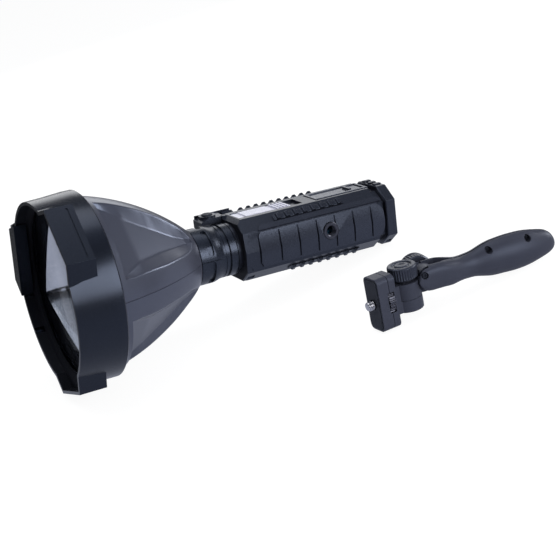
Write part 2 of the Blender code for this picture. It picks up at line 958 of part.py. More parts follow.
def make_rails():
    """Both top rails and both bottom rails."""
    front = body_shell_ends()[0] + gap
    far = (front, far_tooth_start, far_tooth_pitch, far_tooth_count, far_rail_tail)
    near = (near_tooth_start - rail_margin, near_tooth_start, near_tooth_pitch, near_tooth_count, rail_margin)
    under = (bottom_tooth_start - rail_margin, bottom_tooth_start, bottom_tooth_pitch, bottom_tooth_count,
             rail_margin)
    rails = [make_rail("rail_top_far", 1, 1, far, far_rail_foot, far_tooth_height, bar=far_bar_length),
             make_rail("rail_top_near", -1, 1, near, near_rail_foot, near_tooth_height, near_rail_shift)]
    for name, side in (("rail_bottom_far", 1), ("rail_bottom_near", -1)):
        rails.append(make_rail(name, side, -1, under, near_rail_foot, near_tooth_height, near_rail_shift))
    return rails


def panel_outline(grow=0):
    """Side view of a side panel: cut corners in front, round ones behind."""
    radius = panel_rear_radius
    end = panel_end - radius + grow
    top = panel_top + grow
    bottom = panel_bottom - grow
    start = panel_start - grow
    points = [(start, bottom + panel_front_slant), (start, top - panel_front_slant),
              (start + panel_front_slant / 2, top), (end, top)]
    points += arc((end, top - radius), radius, pi / 2, 0, 4)[1:]
    points += arc((end, bottom + radius), radius, 0, -pi / 2, 4)
    points.append((start + panel_front_slant / 2, bottom))
    return points


def make_side_panel(name, side):
    """A raised grip panel: creased along its middle and parted by upright grooves."""
    inner = panel_floor() + gap
    outer = body_half_width + panel_proud
    profile = [(side * inner, panel_bottom - overrun), (side * (outer - panel_lean), panel_bottom - overrun),
               (side * outer, panel_crease), (side * outer, panel_top + overrun),
               (side * inner, panel_top + overrun)]
    panel = finish(name, extruded(profile, panel_start - overrun, panel_end + overrun), soft_rubber())
    keep_inside(panel, scrap(extruded(panel_outline(), side * body_half_width / 2,
                                      side * (body_half_width + 2 * overrun), "Y")))
    grooves = []
    half = panel_groove_width / 2
    depth = outer - panel_groove_depth
    for number in range(panel_groove_count):
        place = panel_groove_start + panel_groove_pitch * number
        low = (place - half, min(side * depth, side * (outer + overrun)), panel_bottom / 2)
        high = (place + half, max(side * depth, side * (outer + overrun)), panel_top + overrun)
        grooves.append(block(low, high))
    cut(panel, scrap(joined(*grooves)))
    if side < 0:
        hole = rod(-outer - overrun, -inner + overrun, socket_radius + gap, small_sides, "Y",
                   (socket_position, socket_height))
        cut(panel, scrap(hole))
    return panel


def make_side_socket():
    """The threaded insert for the grip's screw, in the near side."""
    face = -(body_half_width + panel_proud + socket_proud)
    seat = -(panel_floor() + gap)
    inner = face + socket_depth
    outline = [(face, socket_bore_radius), (face, socket_radius), (seat, socket_radius),
               (seat, socket_shank_radius), (inner, socket_shank_radius), (inner, socket_bore_radius)]
    return finish("side_socket", turned(outline, small_sides, "Y", (socket_position, socket_height)),
                  bright_steel())


def make_top_cover():
    """The cover let into the top behind the switch, with a shallow dish and a finger catch."""
    low = body_half_height - cover_sink + gap
    high = body_half_height + cover_proud
    cover = finish("top_cover", bevelled(block((cover_start, -cover_half_width, low),
                                               (cover_end, cover_half_width, high)), edge_bevel / 2),
                   black_nylon())
    dish = block((cover_start + cover_rim, -cover_half_width + cover_rim, high - cover_recess),
                 (cover_end - cover_rim, cover_half_width - cover_rim, high + overrun))
    cut(cover, scrap(dish))
    catch = block((catch_start, -cover_half_width / 2, high - cover_recess - gap),
                  (catch_start + catch_length, cover_half_width / 2, high + catch_height))
    return fuse(cover, scrap(catch))


def stem_ends():
    """Front and back of the stem under the slide switch."""
    middle = (slide_start + slide_end) / 2
    return middle - slide_stem_length / 2, middle + slide_stem_length / 2


def make_slide_switch():
    """The slide: a flat plate with round front, raised panel, thumb ribs and the stem to the board."""
    low = channel_floor() + gap
    high = low + slide_thickness
    radius = slide_half_width / 2
    outline = rounded_rectangle((slide_end - slide_start) / 2, -slide_half_width, slide_half_width, radius)
    middle = (slide_start + slide_end) / 2
    plate = finish("slide_switch", extruded([(middle + x, y) for x, y in outline], low, high, "Z"),
                   switch_silver())
    fuse(plate, scrap(block((slide_panel_start, -slide_panel_half_width, high - gap),
                            (slide_panel_end, slide_panel_half_width, high + slide_panel_height))))
    last = slide_end - slide_rib_pitch
    for number in range(slide_rib_count):
        rib = last - slide_rib_pitch * number
        fuse(plate, scrap(block((rib - slide_rib_width / 2, -slide_half_width + edge_bevel, high - gap),
                                (rib + slide_rib_width / 2, slide_half_width - edge_bevel,
                                 high + slide_rib_height))))
    start, end = stem_ends()
    stem_low = channel_floor() - body_wall - gap
    return fuse(plate, scrap(block((start, -slide_stem_half_width, stem_low),
                                   (end, slide_stem_half_width, low + gap))))


def board_top():
    """Top of the switch board's component side, just under the slide's stem."""
    return channel_floor() - body_wall - 2 * gap


def make_switch_board():
    """The switch and charging board under the shell's ceiling."""
    high = board_top()
    end = board_start + board_length
    board = finish("switch_board", block((board_start, -board_half_width, high - board_thickness),
                                         (end, board_half_width, high)), board_green())
    return board


def cell_radius():
    """The cells fill the shell's inner width, less the room at their sides."""
    return (body_half_width - body_wall - gap - cell_room) / 2


def make_cells():
    """Two cells side by side on their cradle."""
    cells = []
    level = cell_level()
    for number, side in ((1, -1), (2, 1)):
        end = cell_start + cell_length
        outline = [(cell_start - cell_cap_height, 0), (cell_start - cell_cap_height, cell_cap_radius),
                   (cell_start, cell_cap_radius), (cell_start, cell_radius()), (end, cell_radius()), (end, 0)]
        cells.append(finish("battery_cell_%d" % number,
                            turned(outline, small_sides, "X", (side * (cell_radius() + gap), level)),
                            cell_wrap()))
    return cells


def cell_level():
    """Height of the cells' axes above the cradle on the shell's floor."""
    return -body_half_height + body_wall + cradle_wall + 2 * gap + cell_radius()


def make_battery_cradle():
    """A tray with a round seat under each cell."""
    floor = -body_half_height + body_wall + gap
    top = floor + cradle_wall + cell_radius() / 2
    half = body_top_half + cell_radius() / 2
    tray = finish("battery_cradle", block((cell_start, -half, floor), (cell_start + cell_length, half, top)),
                  black_nylon())
    keep_inside(tray, scrap(extruded(octagon(body_wall + gap), cell_start - overrun,
                                     cell_start + cell_length + overrun)))
    for side in (-1, 1):
        seat = rod(cell_start - 2 * overrun, cell_start + cell_length + 2 * overrun, cell_radius() + gap,
                   small_sides, "X", (side * (cell_radius() + gap), cell_level()))
        cut(tray, scrap(seat))
    return tray


def make_end_cap():
    """The rear cap: an octagonal bumper ring with a recessed back and ribs across its top."""
    start = body_end - end_cap_thickness
    cap = finish("end_cap", bevelled(extruded(octagon(), start, body_end), edge_bevel), black_nylon())
    for number in range(bump_count):
        middle = bump_pitch * (number - (bump_count - 1) / 2)
        fuse(cap, scrap(bevelled(block((start + 2 * edge_bevel, middle - bump_width / 2,
                                        body_half_height - overrun),
                                       (body_end - 2 * edge_bevel, middle + bump_width / 2,
                                        body_half_height + bump_height)), edge_bevel / 2)))
    cut(cap, scrap(extruded(octagon(end_cap_wall), cap_seat(), body_end + overrun)))
    holes = [scrap(rod(start - overrun, body_end + overrun, screw_radius + gap, screw_sides, "X", place))
             for place in screw_places()]
    return cut(cap, *holes)


def cap_seat():
    """Floor of the end cap's recessed back."""
    return body_end - end_cap_thickness / 3


def screw_places():
    """Where the four screws of the end cap sit, in the cap's corners."""
    places = []
    for side in (-1, 1):
        for level in (-1, 1):
            places.append((side * screw_aside, level * screw_aloft))
    return places


def make_end_cap_screws():
    """Four pan-head screws through the end cap into the body."""
    screws = []
    seat = cap_seat() + gap
    for number, place in enumerate(screw_places(), 1):
        outline = [(seat - screw_length, 0), (seat - screw_length, screw_radius), (seat, screw_radius),
                   (seat, screw_head_radius), (seat + screw_head_height / 2, screw_head_radius),
                   (seat + screw_head_height, screw_head_radius / 2), (seat + screw_head_height, 0)]
        screws.append(finish("end_cap_screw_%d" % number, turned(outline, screw_sides, "X", place),
                             bright_steel()))
    return screws


def make_light():
    """All the pieces of the searchlight, along their own axis."""
    pieces = [make_bezel_ring(), make_lens(), make_lens_gasket(), make_lens_baffle(), make_reflector(),
              make_head_shell(), *make_led(), make_heat_sink(), make_neck_sleeve(), make_front_cap(),
              make_push_button(), make_body_shell(), *make_rails(),
              make_side_panel("side_panel_near", -1), make_side_panel("side_panel_far", 1),
              make_side_socket(), make_top_cover(), make_slide_switch(), make_switch_board(),
              *make_cells(), make_battery_cradle(), make_end_cap(), *make_end_cap_screws()]
    return pieces


# The grip's mount

def mount_level():
    """Height of the mount screw, at the middle of the block."""
    return block_height / 2


def block_outline(inset=0):
    """The mount block's upright front view."""
    return rounded_rectangle(block_width / 2 - inset, inset, block_height - inset, block_corner_radius - inset)


def wheel_place():
    """Front and back of the thumb wheel, astride the seam between the block's two halves."""
    return wheel_position - wheel_thickness / 2, wheel_position + wheel_thickness / 2


def wheel_window():
    """The room for the thumb wheel: a round pocket that opens at both sides of the block."""
    front, back = wheel_place()
    half = window_height / 2
    radius = wheel_radius + running_gap
    start = asin(half / radius)
    steps = small_sides
    outline = [(block_width, mount_level() - half), (block_width, mount_level() + half)]
    outline += arc((0, mount_level()), radius, start, pi - start, steps)
    outline += [(-block_width, mount_level() + half), (-block_width, mount_level() - half)]
    outline += arc((0, mount_level()), radius, pi + start, 2 * pi - start, steps)
    return scrap(extruded(outline, front - gap, back + gap))


def make_mount_front():
    """Front half of the mount block, with a shallow seat for its rubber face."""
    front = finish("mount_front", extruded(block_outline(), 0, block_front - gap / 2), satin_grip())
    cut(front, scrap(extruded(block_outline(face_border - gap), -overrun, face_thickness / 2)))
    hole = rod(-overrun, block_front + overrun, mount_shank_radius + gap, small_sides, "X",
               (0, mount_level()))
    return cut(front, scrap(hole), wheel_window())


def make_mount_face():
    """The rubber pad that bears on the light."""
    pad = finish("mount_face", extruded(block_outline(face_border), -face_thickness / 2,
                                        face_thickness / 2 - gap), soft_rubber())
    hole = rod(-face_thickness, face_thickness, mount_thread_radius + gap, small_sides, "X",
               (0, mount_level()))
    return cut(pad, scrap(hole))


def make_thumb_wheel():
    """The notched wheel that turns the mount screw."""
    front, back = wheel_place()
    outline = []
    pitch = 2 * pi / wheel_notch_count
    for number in range(wheel_notch_count):
        for share, depth in ((0, 0), (0.35, 0), (0.55, wheel_notch_depth), (0.80, wheel_notch_depth)):
            turn = pitch * (number + share)
            reach = wheel_radius - depth
            outline.append((reach * sin(turn), mount_level() + reach * cos(turn)))
    wheel = finish("thumb_wheel", extruded(outline, front, back), bright_steel())
    bore = rod(front - overrun, back + overrun, mount_shank_radius + gap / 3, small_sides, "X",
               (0, mount_level()))
    return cut(wheel, scrap(bore))


def make_mount_screw():
    """The camera-size screw that the thumb wheel drives into the light's side."""
    back = wheel_place()[1]
    front = -face_thickness / 2 - mount_thread_length
    neck = -gap
    outline = [(front, 0), (front, mount_thread_radius - edge_bevel),
               (front + edge_bevel, mount_thread_radius), (neck, mount_thread_radius),
               (neck, mount_shank_radius), (back, mount_shank_radius), (back, 0)]
    return finish("mount_screw", turned(outline, small_sides, "X", (0, mount_level())), bright_steel())


def knuckle_levels():
    """Bottom and top of the knuckle's barrel on the bracket's lug."""
    low = web_base + lug_height + gap
    return low, low + barrel_height


def make_swivel_bracket():
    """Back half of the mount block with its web and the lug that carries the knuckle."""
    back = block_front + block_back
    bracket = finish("swivel_bracket", extruded(block_outline(), block_front + gap / 2, back), satin_grip())
    low, high = knuckle_levels()
    half = web_width / 2
    fuse(bracket, scrap(block((back - overrun, -half, web_base + edge_bevel / 2),
                              (swivel_position, half, high))))
    fuse(bracket, scrap(rod(web_base, low, barrel_radius, neck_sides, "Z", (swivel_position, 0))))
    room = rod(low - gap, high + overrun, barrel_radius + running_gap, neck_sides, "Z",
               (swivel_position, 0))
    hole = [(web_base - overrun, 0), (web_base - overrun, bolt_head_radius + gap),
            (web_base + bolt_head_height, bolt_head_radius + gap),
            (web_base + bolt_head_height, bolt_radius + gap), (high, bolt_radius + gap), (high, 0)]
    cut(bracket, scrap(room), scrap(turned(hole, small_sides, "Z", (swivel_position, 0))))
    return cut(bracket, wheel_window())


# The grip's swivel, along the handle's own direction with the swivel axis upright through the origin

def handle_level():
    """Height of the handle's axis and the tilt axis."""
    low, high = knuckle_levels()
    return (low + high) / 2 + handle_rise


def make_knuckle():
    """A barrel on the lug with a round-ended tongue between the handle's cheeks."""
    low, high = knuckle_levels()
    half = tongue_width / 2
    level = handle_level()
    knuckle = finish("knuckle", rod(-half, half, tongue_radius, neck_sides, "Y", (tilt_distance, level)),
                     satin_grip())
    fuse(knuckle, scrap(block((bolt_radius, -half + edge_bevel / 2, low + edge_bevel / 2),
                              (tilt_distance, half - edge_bevel / 2, high - edge_bevel / 2))))
    clear = rod(high - edge_bevel, high + knob_height, barrel_radius + running_gap, neck_sides, "Z")
    under = rod(web_base - overrun, low + edge_bevel, barrel_radius + running_gap, neck_sides, "Z")
    cut(knuckle, scrap(clear), scrap(under))
    fuse(knuckle, scrap(rod(low, high, barrel_radius, neck_sides, "Z")))
    cut(knuckle, scrap(rod(low - overrun, high + overrun, bolt_radius + gap, small_sides, "Z")))
    return cut(knuckle, scrap(rod(-half - overrun, half + overrun, bolt_radius + gap, small_sides, "Y",
                                  (tilt_distance, level))))


def make_swivel_washer():
    """The washer under the swivel knob."""
    low = knuckle_levels()[1] + gap
    high = low + washer_thickness
    outline = [(low, bolt_radius + gap), (low, washer_radius), (high, washer_radius),
               (high, bolt_radius + gap)]
    return finish("swivel_washer", turned(outline, small_sides, "Z"), soft_rubber())


def swivel_knob_levels():
    low = knuckle_levels()[1] + washer_thickness + 2 * gap
    return low, low + knob_height


def knob_outline(low, high, radius):
    """Side view of a knob: chamfered rim, a ring groove on top and a blind bore for its bolt."""
    inner = knob_groove_radius
    outer = knob_groove_radius + knob_groove_width
    bore = bolt_radius + gap / 3
    bore_end = (low + high) / 2 + gap
    return [(low, bore), (low, radius - edge_bevel), (low + edge_bevel, radius), (high - edge_bevel, radius),
            (high, radius - edge_bevel), (high, outer), (high - knob_groove_depth, outer),
            (high - knob_groove_depth, inner), (high, inner), (high, 0), (bore_end, 0), (bore_end, bore)]


def rib_ring(radius, low, high, axis, centre):
    """The ribs of a knob's rim: a star-shaped sleeve."""
    points = []
    for number in range(2 * knob_rib_count):
        turn = pi * number / knob_rib_count
        reach = radius + (knob_rib_depth if number % 2 else 0)
        points.append((centre[0] + reach * sin(turn), centre[1] + reach * cos(turn)))
    return scrap(extruded(points, low, high, axis))


def make_swivel_knob():
    """The ribbed knob that clamps the swivel."""
    low, high = swivel_knob_levels()
    radius = knob_radius - knob_rib_depth
    knob = finish("swivel_knob", turned(knob_outline(low, high, radius), knob_rib_count, "Z"), satin_grip())
    return add_ribs(knob, radius, low, high, "Z", (0, 0))


def add_ribs(knob, radius, low, high, axis, centre):
    """Ribs round the middle of a knob's rim."""
    ribs = rib_ring(radius, low + 2 * edge_bevel, high - 2 * edge_bevel, axis, centre)
    core = rod(low, high, radius - edge_bevel, knob_rib_count, axis, centre)
    return fuse(knob, cut(ribs, scrap(core)))


def make_swivel_bolt():
    """The bolt up through lug, knuckle and washer into the swivel knob."""
    low = web_base + gap
    head = web_base + bolt_head_height - gap
    top = swivel_knob_levels()[0] + knob_height / 2
    outline = [(low, 0), (low, bolt_head_radius), (head, bolt_head_radius), (head, bolt_radius),
               (top, bolt_radius), (top, 0)]
    return finish("swivel_bolt", turned(outline, small_sides, "Z", (swivel_position, 0)), bright_steel())


# The handle, along its own axis

def cheek_reach():
    """Half the width over the handle's two cheeks."""
    return fork_half() + cheek_thickness


def fork_half():
    """Half the room between the cheeks."""
    return tongue_width / 2 + running_gap


def handle_sections(inset=0):
    """Place, middle height, half height, half width and squareness along the handle."""
    length = handle_end - tilt_distance
    rows = []
    for along, rise, tall, wide, square in handle_profile_shares:
        place = tilt_distance + length * along
        half = handle_belly_radius * tall - inset
        across = handle_belly_radius * wide - inset
        if not inset or (place > fork_bottom() and min(half, across) > inset):
            rows.append((place, handle_level() + handle_belly_radius * rise, half, across, square))
    return rows


def handle_solid(inset=0):
    """The handle's whole outside, or the hollow inside its wall."""
    sections = []
    for place, middle, tall, wide, square in handle_sections(inset):
        power = 1 / (1 + square)
        ring = []
        for step in range(handle_sides):
            turn = 2 * pi * (step + 1 / 2) / handle_sides
            across = abs(cos(turn)) ** power * (1 if cos(turn) > 0 else -1)
            up = abs(sin(turn)) ** power * (1 if sin(turn) > 0 else -1)
            ring.append(Vector((place, wide * across, middle + tall * up)))
        sections.append(ring)
    return scrap(lofted(sections))


def fork_bottom():
    return tilt_distance + tongue_radius + fork_margin


def fork_cutter():
    """The room for the tongue between the cheeks, narrowing to the seam behind it."""
    half = fork_half()
    low = handle_level() - 2 * cheek_radius
    high = handle_level() + 2 * cheek_radius
    room = scrap(block((-tilt_distance, -half, low), (fork_bottom(), half, high)))
    outline = [(fork_bottom() - overrun, -half), (fork_bottom(), -half), (fork_bottom() + fork_depth, 0),
               (fork_bottom(), half), (fork_bottom() - overrun, half)]
    wedge = scrap(extruded(outline, low + edge_bevel, high - edge_bevel, "Z"))
    return fuse(room, wedge)


def cheek_flanks():
    """The cheeks' round fronts, slimmer inside so that they clear the barrel as the handle tilts."""
    reach = cheek_reach()
    inner = fork_half() - edge_bevel
    profile = []
    for step in range(cheek_steps + 1):
        side = inner + (reach - inner) * step / cheek_steps
        clear = tilt_distance - sqrt(max(barrel_radius ** 2 - side ** 2, 0)) - 2 * running_gap
        profile.append((side, min(clear, cheek_radius)))
    outline = [(-reach, 0)] + [(-side, radius) for side, radius in reversed(profile)]
    outline += profile + [(reach, 0)]
    return scrap(turned(outline, neck_sides, "Y", (tilt_distance, handle_level())))


def shell_screw_places():
    """Places and heights of the screws that hold the two shells together."""
    places = []
    for share in shell_screw_places_shares:
        place = tilt_distance + (handle_end - tilt_distance) * share
        _, middle, tall, _, _ = min(handle_sections(), key=lambda row: abs(row[0] - place))
        places.append((place, middle + tall * screw_rise_share))
    return places


def cheek_screw_place():
    """Place and height of the short screw in the near cheek."""
    reach = cheek_radius * cheek_screw_share
    return tilt_distance - reach * cos(cheek_screw_turn), handle_level() + reach * sin(cheek_screw_turn)


def make_handle_shell(name, side):
    """One half of the hollow handle, with its cheek, screw posts and screw holes."""
    shell = handle_solid()
    shell.name = name
    shell.data.materials[0] = satin_grip()
    level = handle_level()
    reach = cheek_reach()
    fuse(shell, cheek_flanks())
    cut(shell, fork_cutter())
    hollow = handle_solid(handle_wall)
    for place in shell_screw_places():
        cut(hollow, scrap(rod(-reach, reach, boss_radius, small_sides, "Y", place)))
    cut(shell, hollow)
    high = side * gap / 2
    far = side * 2 * reach
    room = block((-tilt_distance, min(high, far), level - 2 * handle_belly_radius),
                 (handle_end + tilt_distance, max(high, far), level + 2 * handle_belly_radius))
    keep_inside(shell, scrap(room))
    for place in shell_screw_places():
        cut(shell, scrap(turned([(-2 * reach, 0), (-2 * reach, screw_recess_radius),
                                 (-shell_screw_floor, screw_recess_radius),
                                 (-shell_screw_floor, shell_screw_radius + gap),
                                 (shell_screw_floor + overrun, shell_screw_radius + gap),
                                 (shell_screw_floor + overrun, 0)], screw_sides, "Y", place)))
    bolt_end = tilt_bolt_end()
    cut(shell, scrap(rod(bolt_end - gap, 2 * reach, bolt_radius + gap, small_sides, "Y",
                         (tilt_distance, level))))
    if side < 0:
        seat = cheek_screw_seat()
        end = cheek_screw_end() + gap
        cut(shell, scrap(turned([(-2 * reach, 0), (-2 * reach, screw_recess_radius),
                                 (seat, screw_recess_radius), (seat, shell_screw_radius + gap),
                                 (end, shell_screw_radius + gap), (end, 0)], screw_sides, "Y",
                                cheek_screw_place())))
    return shell


def cheek_screw_seat():
    """Where the head of the near cheek's screw bears."""
    return -cheek_reach() + 2 * shell_screw_head


def cheek_screw_end():
    """Blind end of the near cheek's screw, where the cheek still covers it beside the barrel."""
    return cheek_screw_seat() + shell_screw_radius


def make_shell_screws():
    """Two screws through both shells and a short one in the near cheek."""
    screws = []
    seats = [(place, -shell_screw_floor, shell_screw_floor) for place in shell_screw_places()]
    seats.append((cheek_screw_place(), cheek_screw_seat(), cheek_screw_end()))
    for number, (place, seat, end) in enumerate(seats, 1):
        under = seat - gap
        outline = [(under - shell_screw_head, 0),
                   (under - shell_screw_head, shell_screw_head_radius),
                   (under, shell_screw_head_radius), (under, shell_screw_radius), (end, shell_screw_radius),
                   (end, 0)]
        screws.append(finish("handle_screw_%d" % number, turned(outline, screw_sides, "Y", place),
                             black_steel()))
    return screws


def tilt_bolt_end():
    """Blind end of the tilt bolt inside the near cheek."""
    return -cheek_reach() + cheek_thickness / 2


def tilt_knob_ends():
    low = cheek_reach() + gap
    return low, low + tilt_knob_height


def make_tilt_bolt():
    """The bolt from the tilt knob through the far cheek and the tongue into the near cheek."""
    low = tilt_bolt_end()
    high = tilt_knob_ends()[0] + tilt_knob_height / 2
    return finish("tilt_bolt", rod(low, high, bolt_radius, small_sides, "Y", (tilt_distance, handle_level())),
                  bright_steel())


def make_tilt_knob():
    """The ribbed knob on the far side that clamps the tilt."""
    low, high = tilt_knob_ends()
    radius = tilt_knob_radius - knob_rib_depth
    centre = (tilt_distance, handle_level())
    knob = finish("tilt_knob", turned(knob_outline(low, high, radius), knob_rib_count, "Y", centre),
                  satin_grip())
    return add_ribs(knob, radius, low, high, "Y", centre)


def make_grip():
    """The mount end of the grip, the swivelling pieces and the tilting ones."""
    mount = [make_mount_front(), make_mount_face(), make_thumb_wheel(), make_mount_screw(),
             make_swivel_bracket(), make_swivel_bolt()]
    swivel = [make_knuckle(), make_swivel_washer(), make_swivel_knob()]
    handle = [make_handle_shell("handle_shell_near", -1), make_handle_shell("handle_shell_far", 1),
              make_tilt_bolt(), make_tilt_knob(), *make_shell_screws()]
    return mount, swivel, handle


def light_rest():
    """Slope of the light's axis down to the tail, and the height of its rim's centre above the table."""
    corners = [pad_point(angle, side * pad_half_width, pad_reach) for angle in pad_angles()
               for side in (-1, 1)]
    head_drop = max(-z for _, z in corners)
    run = body_end - edge_bevel - pad_length
    slope = atan((head_drop - body_half_height) / run)
    return slope, head_drop * cos(slope) + pad_length * sin(slope)


def grip_rest(handle):
    """Slope of the grip's axis, resting on the mount block's rear edge and on the handle's belly."""
    heel = block_front + block_back
    slopes = []
    for piece in handle:
        for vertex in piece.data.vertices:
            x, y, z = vertex.co
            reach = swivel_position + x * cos(handle_swing) - y * sin(handle_swing) - heel
            slopes.append(atan2(z, reach))
    slope = min(slopes)
    return slope, heel * sin(slope)


def group(name, pieces, place, turn, parent=None):
    """An empty that carries the pieces of one group."""
    carrier = bpy.data.objects.new(name, None)
    bpy.context.scene.collection.objects.link(carrier)
    carrier.parent = parent
    carrier.location = place
    carrier.rotation_euler = turn
    for piece in pieces:
        piece.parent = carrier
    return carrier


def on_axis(name, pieces, place):
    """Give pieces that move together an empty of their own on the axis of their joint."""
    carrier = group(name, (), place, (0, 0, 0), pieces[0].parent)
    for piece in pieces:
        piece.parent = carrier
        piece.location = (-place[0], -place[1], -place[2])


def centre_on_table(carriers):
    """Shift the whole set so that the origin is the middle of its footprint on the table."""
    bpy.context.view_layer.update()
    points = [piece.matrix_world @ vertex.co for piece in bpy.data.objects if piece.type == "MESH"
              for vertex in piece.data.vertices]
    lows = [min(point[axis] for point in points) for axis in range(3)]
    highs = [max(point[axis] for point in points) for axis in range(3)]
    shift = Vector(((lows[0] + highs[0]) / 2, (lows[1] + highs[1]) / 2, lows[2]))
    for carrier in carriers:
        carrier.location = carrier.location - shift


def build():
    """Make the light and the grip, lay them on the table and set each joint's axis."""
    clear_scene()
    slope, height = light_rest()
    light = group("light_at_rest", make_light(), (0, 0, height), (0, slope, 0))
    mount, swivel, handle = make_grip()
    slope, height = grip_rest(handle)
    stand = group("grip_at_rest", mount, (grip_along, grip_aside, height), (0, slope, grip_yaw))
    group("swivel_axis", swivel + handle, (swivel_position, 0, 0), (0, 0, handle_swing), stand)
    pieces = bpy.data.objects
    on_axis("slide_axis", [pieces["slide_switch"]], (slide_start, 0, body_half_height))
    on_axis("button_axis", [pieces["push_button"]], (button_position, button_aside, body_half_height))
    on_axis("screw_axis", [pieces["thumb_wheel"], pieces["mount_screw"]], (0, 0, mount_level()))
    on_axis("tilt_axis", handle, (tilt_distance, 0, handle_level()))
    centre_on_table((light, stand))


build()
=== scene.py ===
"""Handheld searchlight and its separate screw-on grip, dressed for rendering.

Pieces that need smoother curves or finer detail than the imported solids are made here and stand
for them; the rest are softened copies. Each group is built upright, with its axis along x, and
then set down as it lies on the table. Lengths of pieces are in millimetres until they become
vertices; the room, its lamps and the camera are in metres.
"""
from math import atan2, cos, hypot, pi, radians, sin, sqrt

import bmesh
import bpy
from mathutils import Euler, Matrix, Vector


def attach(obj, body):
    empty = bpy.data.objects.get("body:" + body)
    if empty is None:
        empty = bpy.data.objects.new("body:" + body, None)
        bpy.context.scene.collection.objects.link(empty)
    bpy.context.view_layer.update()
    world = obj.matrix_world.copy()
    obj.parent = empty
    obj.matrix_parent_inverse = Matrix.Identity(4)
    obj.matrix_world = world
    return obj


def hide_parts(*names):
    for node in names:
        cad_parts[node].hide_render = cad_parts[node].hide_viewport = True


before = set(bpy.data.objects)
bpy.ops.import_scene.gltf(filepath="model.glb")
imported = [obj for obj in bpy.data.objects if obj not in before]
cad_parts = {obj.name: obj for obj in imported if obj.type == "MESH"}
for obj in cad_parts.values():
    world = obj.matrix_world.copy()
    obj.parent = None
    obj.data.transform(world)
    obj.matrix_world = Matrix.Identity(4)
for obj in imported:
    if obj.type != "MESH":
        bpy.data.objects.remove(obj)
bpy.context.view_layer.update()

MM = 0.001
GAP = 0.3


# Where the light, the grip and the grip's swivelling end lie on the table

def lying(place, turn):
    return Matrix.Translation(place) @ Euler(turn).to_matrix().to_4x4()


LIGHT = lying((-0.1413998, 0.041119, 0.0735055), (0, 0.2002164, 0))
STAND = lying((0.0219001, -0.088781, 0.0014958), (0, 0.1162184, 0.0261799))
SWIVEL = lying((0.0466237, -0.0881336, -0.0013915), (-0.0222722, 0.1140737, -0.167078))
PLACES = {"searchlight": LIGHT, "slide_switch": LIGHT, "push_button": LIGHT, "grip_mount": STAND,
          "mount_screw": STAND, "knuckle": SWIVEL, "swivel_knob": SWIVEL, "tilt_knob": SWIVEL,
          "handle": SWIVEL}


# Materials

NOISE_LOW = 0.3
NOISE_HIGH = 0.7
COOL_SHEEN = (0.64, 0.74, 1.0, 1)
GRAIN_HEIGHT = 0.0002


def fill(made, **inputs):
    """Set a shader node's unlinked input values."""
    for key, value in inputs.items():
        made.inputs[key.replace("_", " ")].default_value = value


def node(tree, kind, values=None, **inputs):
    """A new shader node with its settings and unlinked input values."""
    made = tree.nodes.new(kind)
    for key, value in (values or {}).items():
        setattr(made, key, value)
    fill(made, **inputs)
    return made


def shaded(name):
    """A new material, its node tree and its Principled shader."""
    material = bpy.data.materials.new(name)
    material.use_nodes = True
    return material, material.node_tree, material.node_tree.nodes["Principled BSDF"]


def surface(name, colour, roughness, metallic=0.0, specular=0.5, grain=900, bump=0.05, vary=0.12,
            spread=0.05, blotch=60):
    """A Principled material whose colour, gloss and fine relief vary over the piece."""
    material, tree, shader = shaded(name)
    link = tree.links.new
    fill(shader, Metallic=metallic, Specular_IOR_Level=specular)
    if metallic < 0.5:
        fill(shader, Specular_Tint=COOL_SHEEN)
    place = node(tree, "ShaderNodeTexCoord")
    wide = node(tree, "ShaderNodeTexNoise", Scale=blotch, Detail=4.0, Roughness=0.6)
    fine = node(tree, "ShaderNodeTexNoise", Scale=grain, Detail=3.0, Roughness=0.55)
    for texture in (wide, fine):
        link(place.outputs["Object"], texture.inputs["Vector"])
    ramp = node(tree, "ShaderNodeValToRGB")
    stops = ramp.color_ramp.elements
    for stop, spot, share in ((stops[0], NOISE_LOW, 1 - vary), (stops[1], NOISE_HIGH, 1 + vary)):
        stop.position = spot
        stop.color = (*(min(channel * share, 1) for channel in colour), 1)
    link(wide.outputs["Fac"], ramp.inputs["Fac"])
    link(ramp.outputs["Color"], shader.inputs["Base Color"])
    gloss = node(tree, "ShaderNodeMapRange", From_Min=NOISE_LOW, From_Max=NOISE_HIGH,
                 To_Min=roughness - spread, To_Max=roughness + spread)
    link(fine.outputs["Fac"], gloss.inputs["Value"])
    link(gloss.outputs["Result"], shader.inputs["Roughness"])
    relief = node(tree, "ShaderNodeBump", Strength=bump, Distance=GRAIN_HEIGHT)
    link(fine.outputs["Fac"], relief.inputs["Height"])
    link(relief.outputs["Normal"], shader.inputs["Normal"])
    return material


def glass(name, tint):
    """Clear polished glass."""
    material, _, shader = shaded(name)
    fill(shader, Base_Color=(*tint, 1), Transmission_Weight=1, Roughness=0.01, IOR=1.12)
    return material


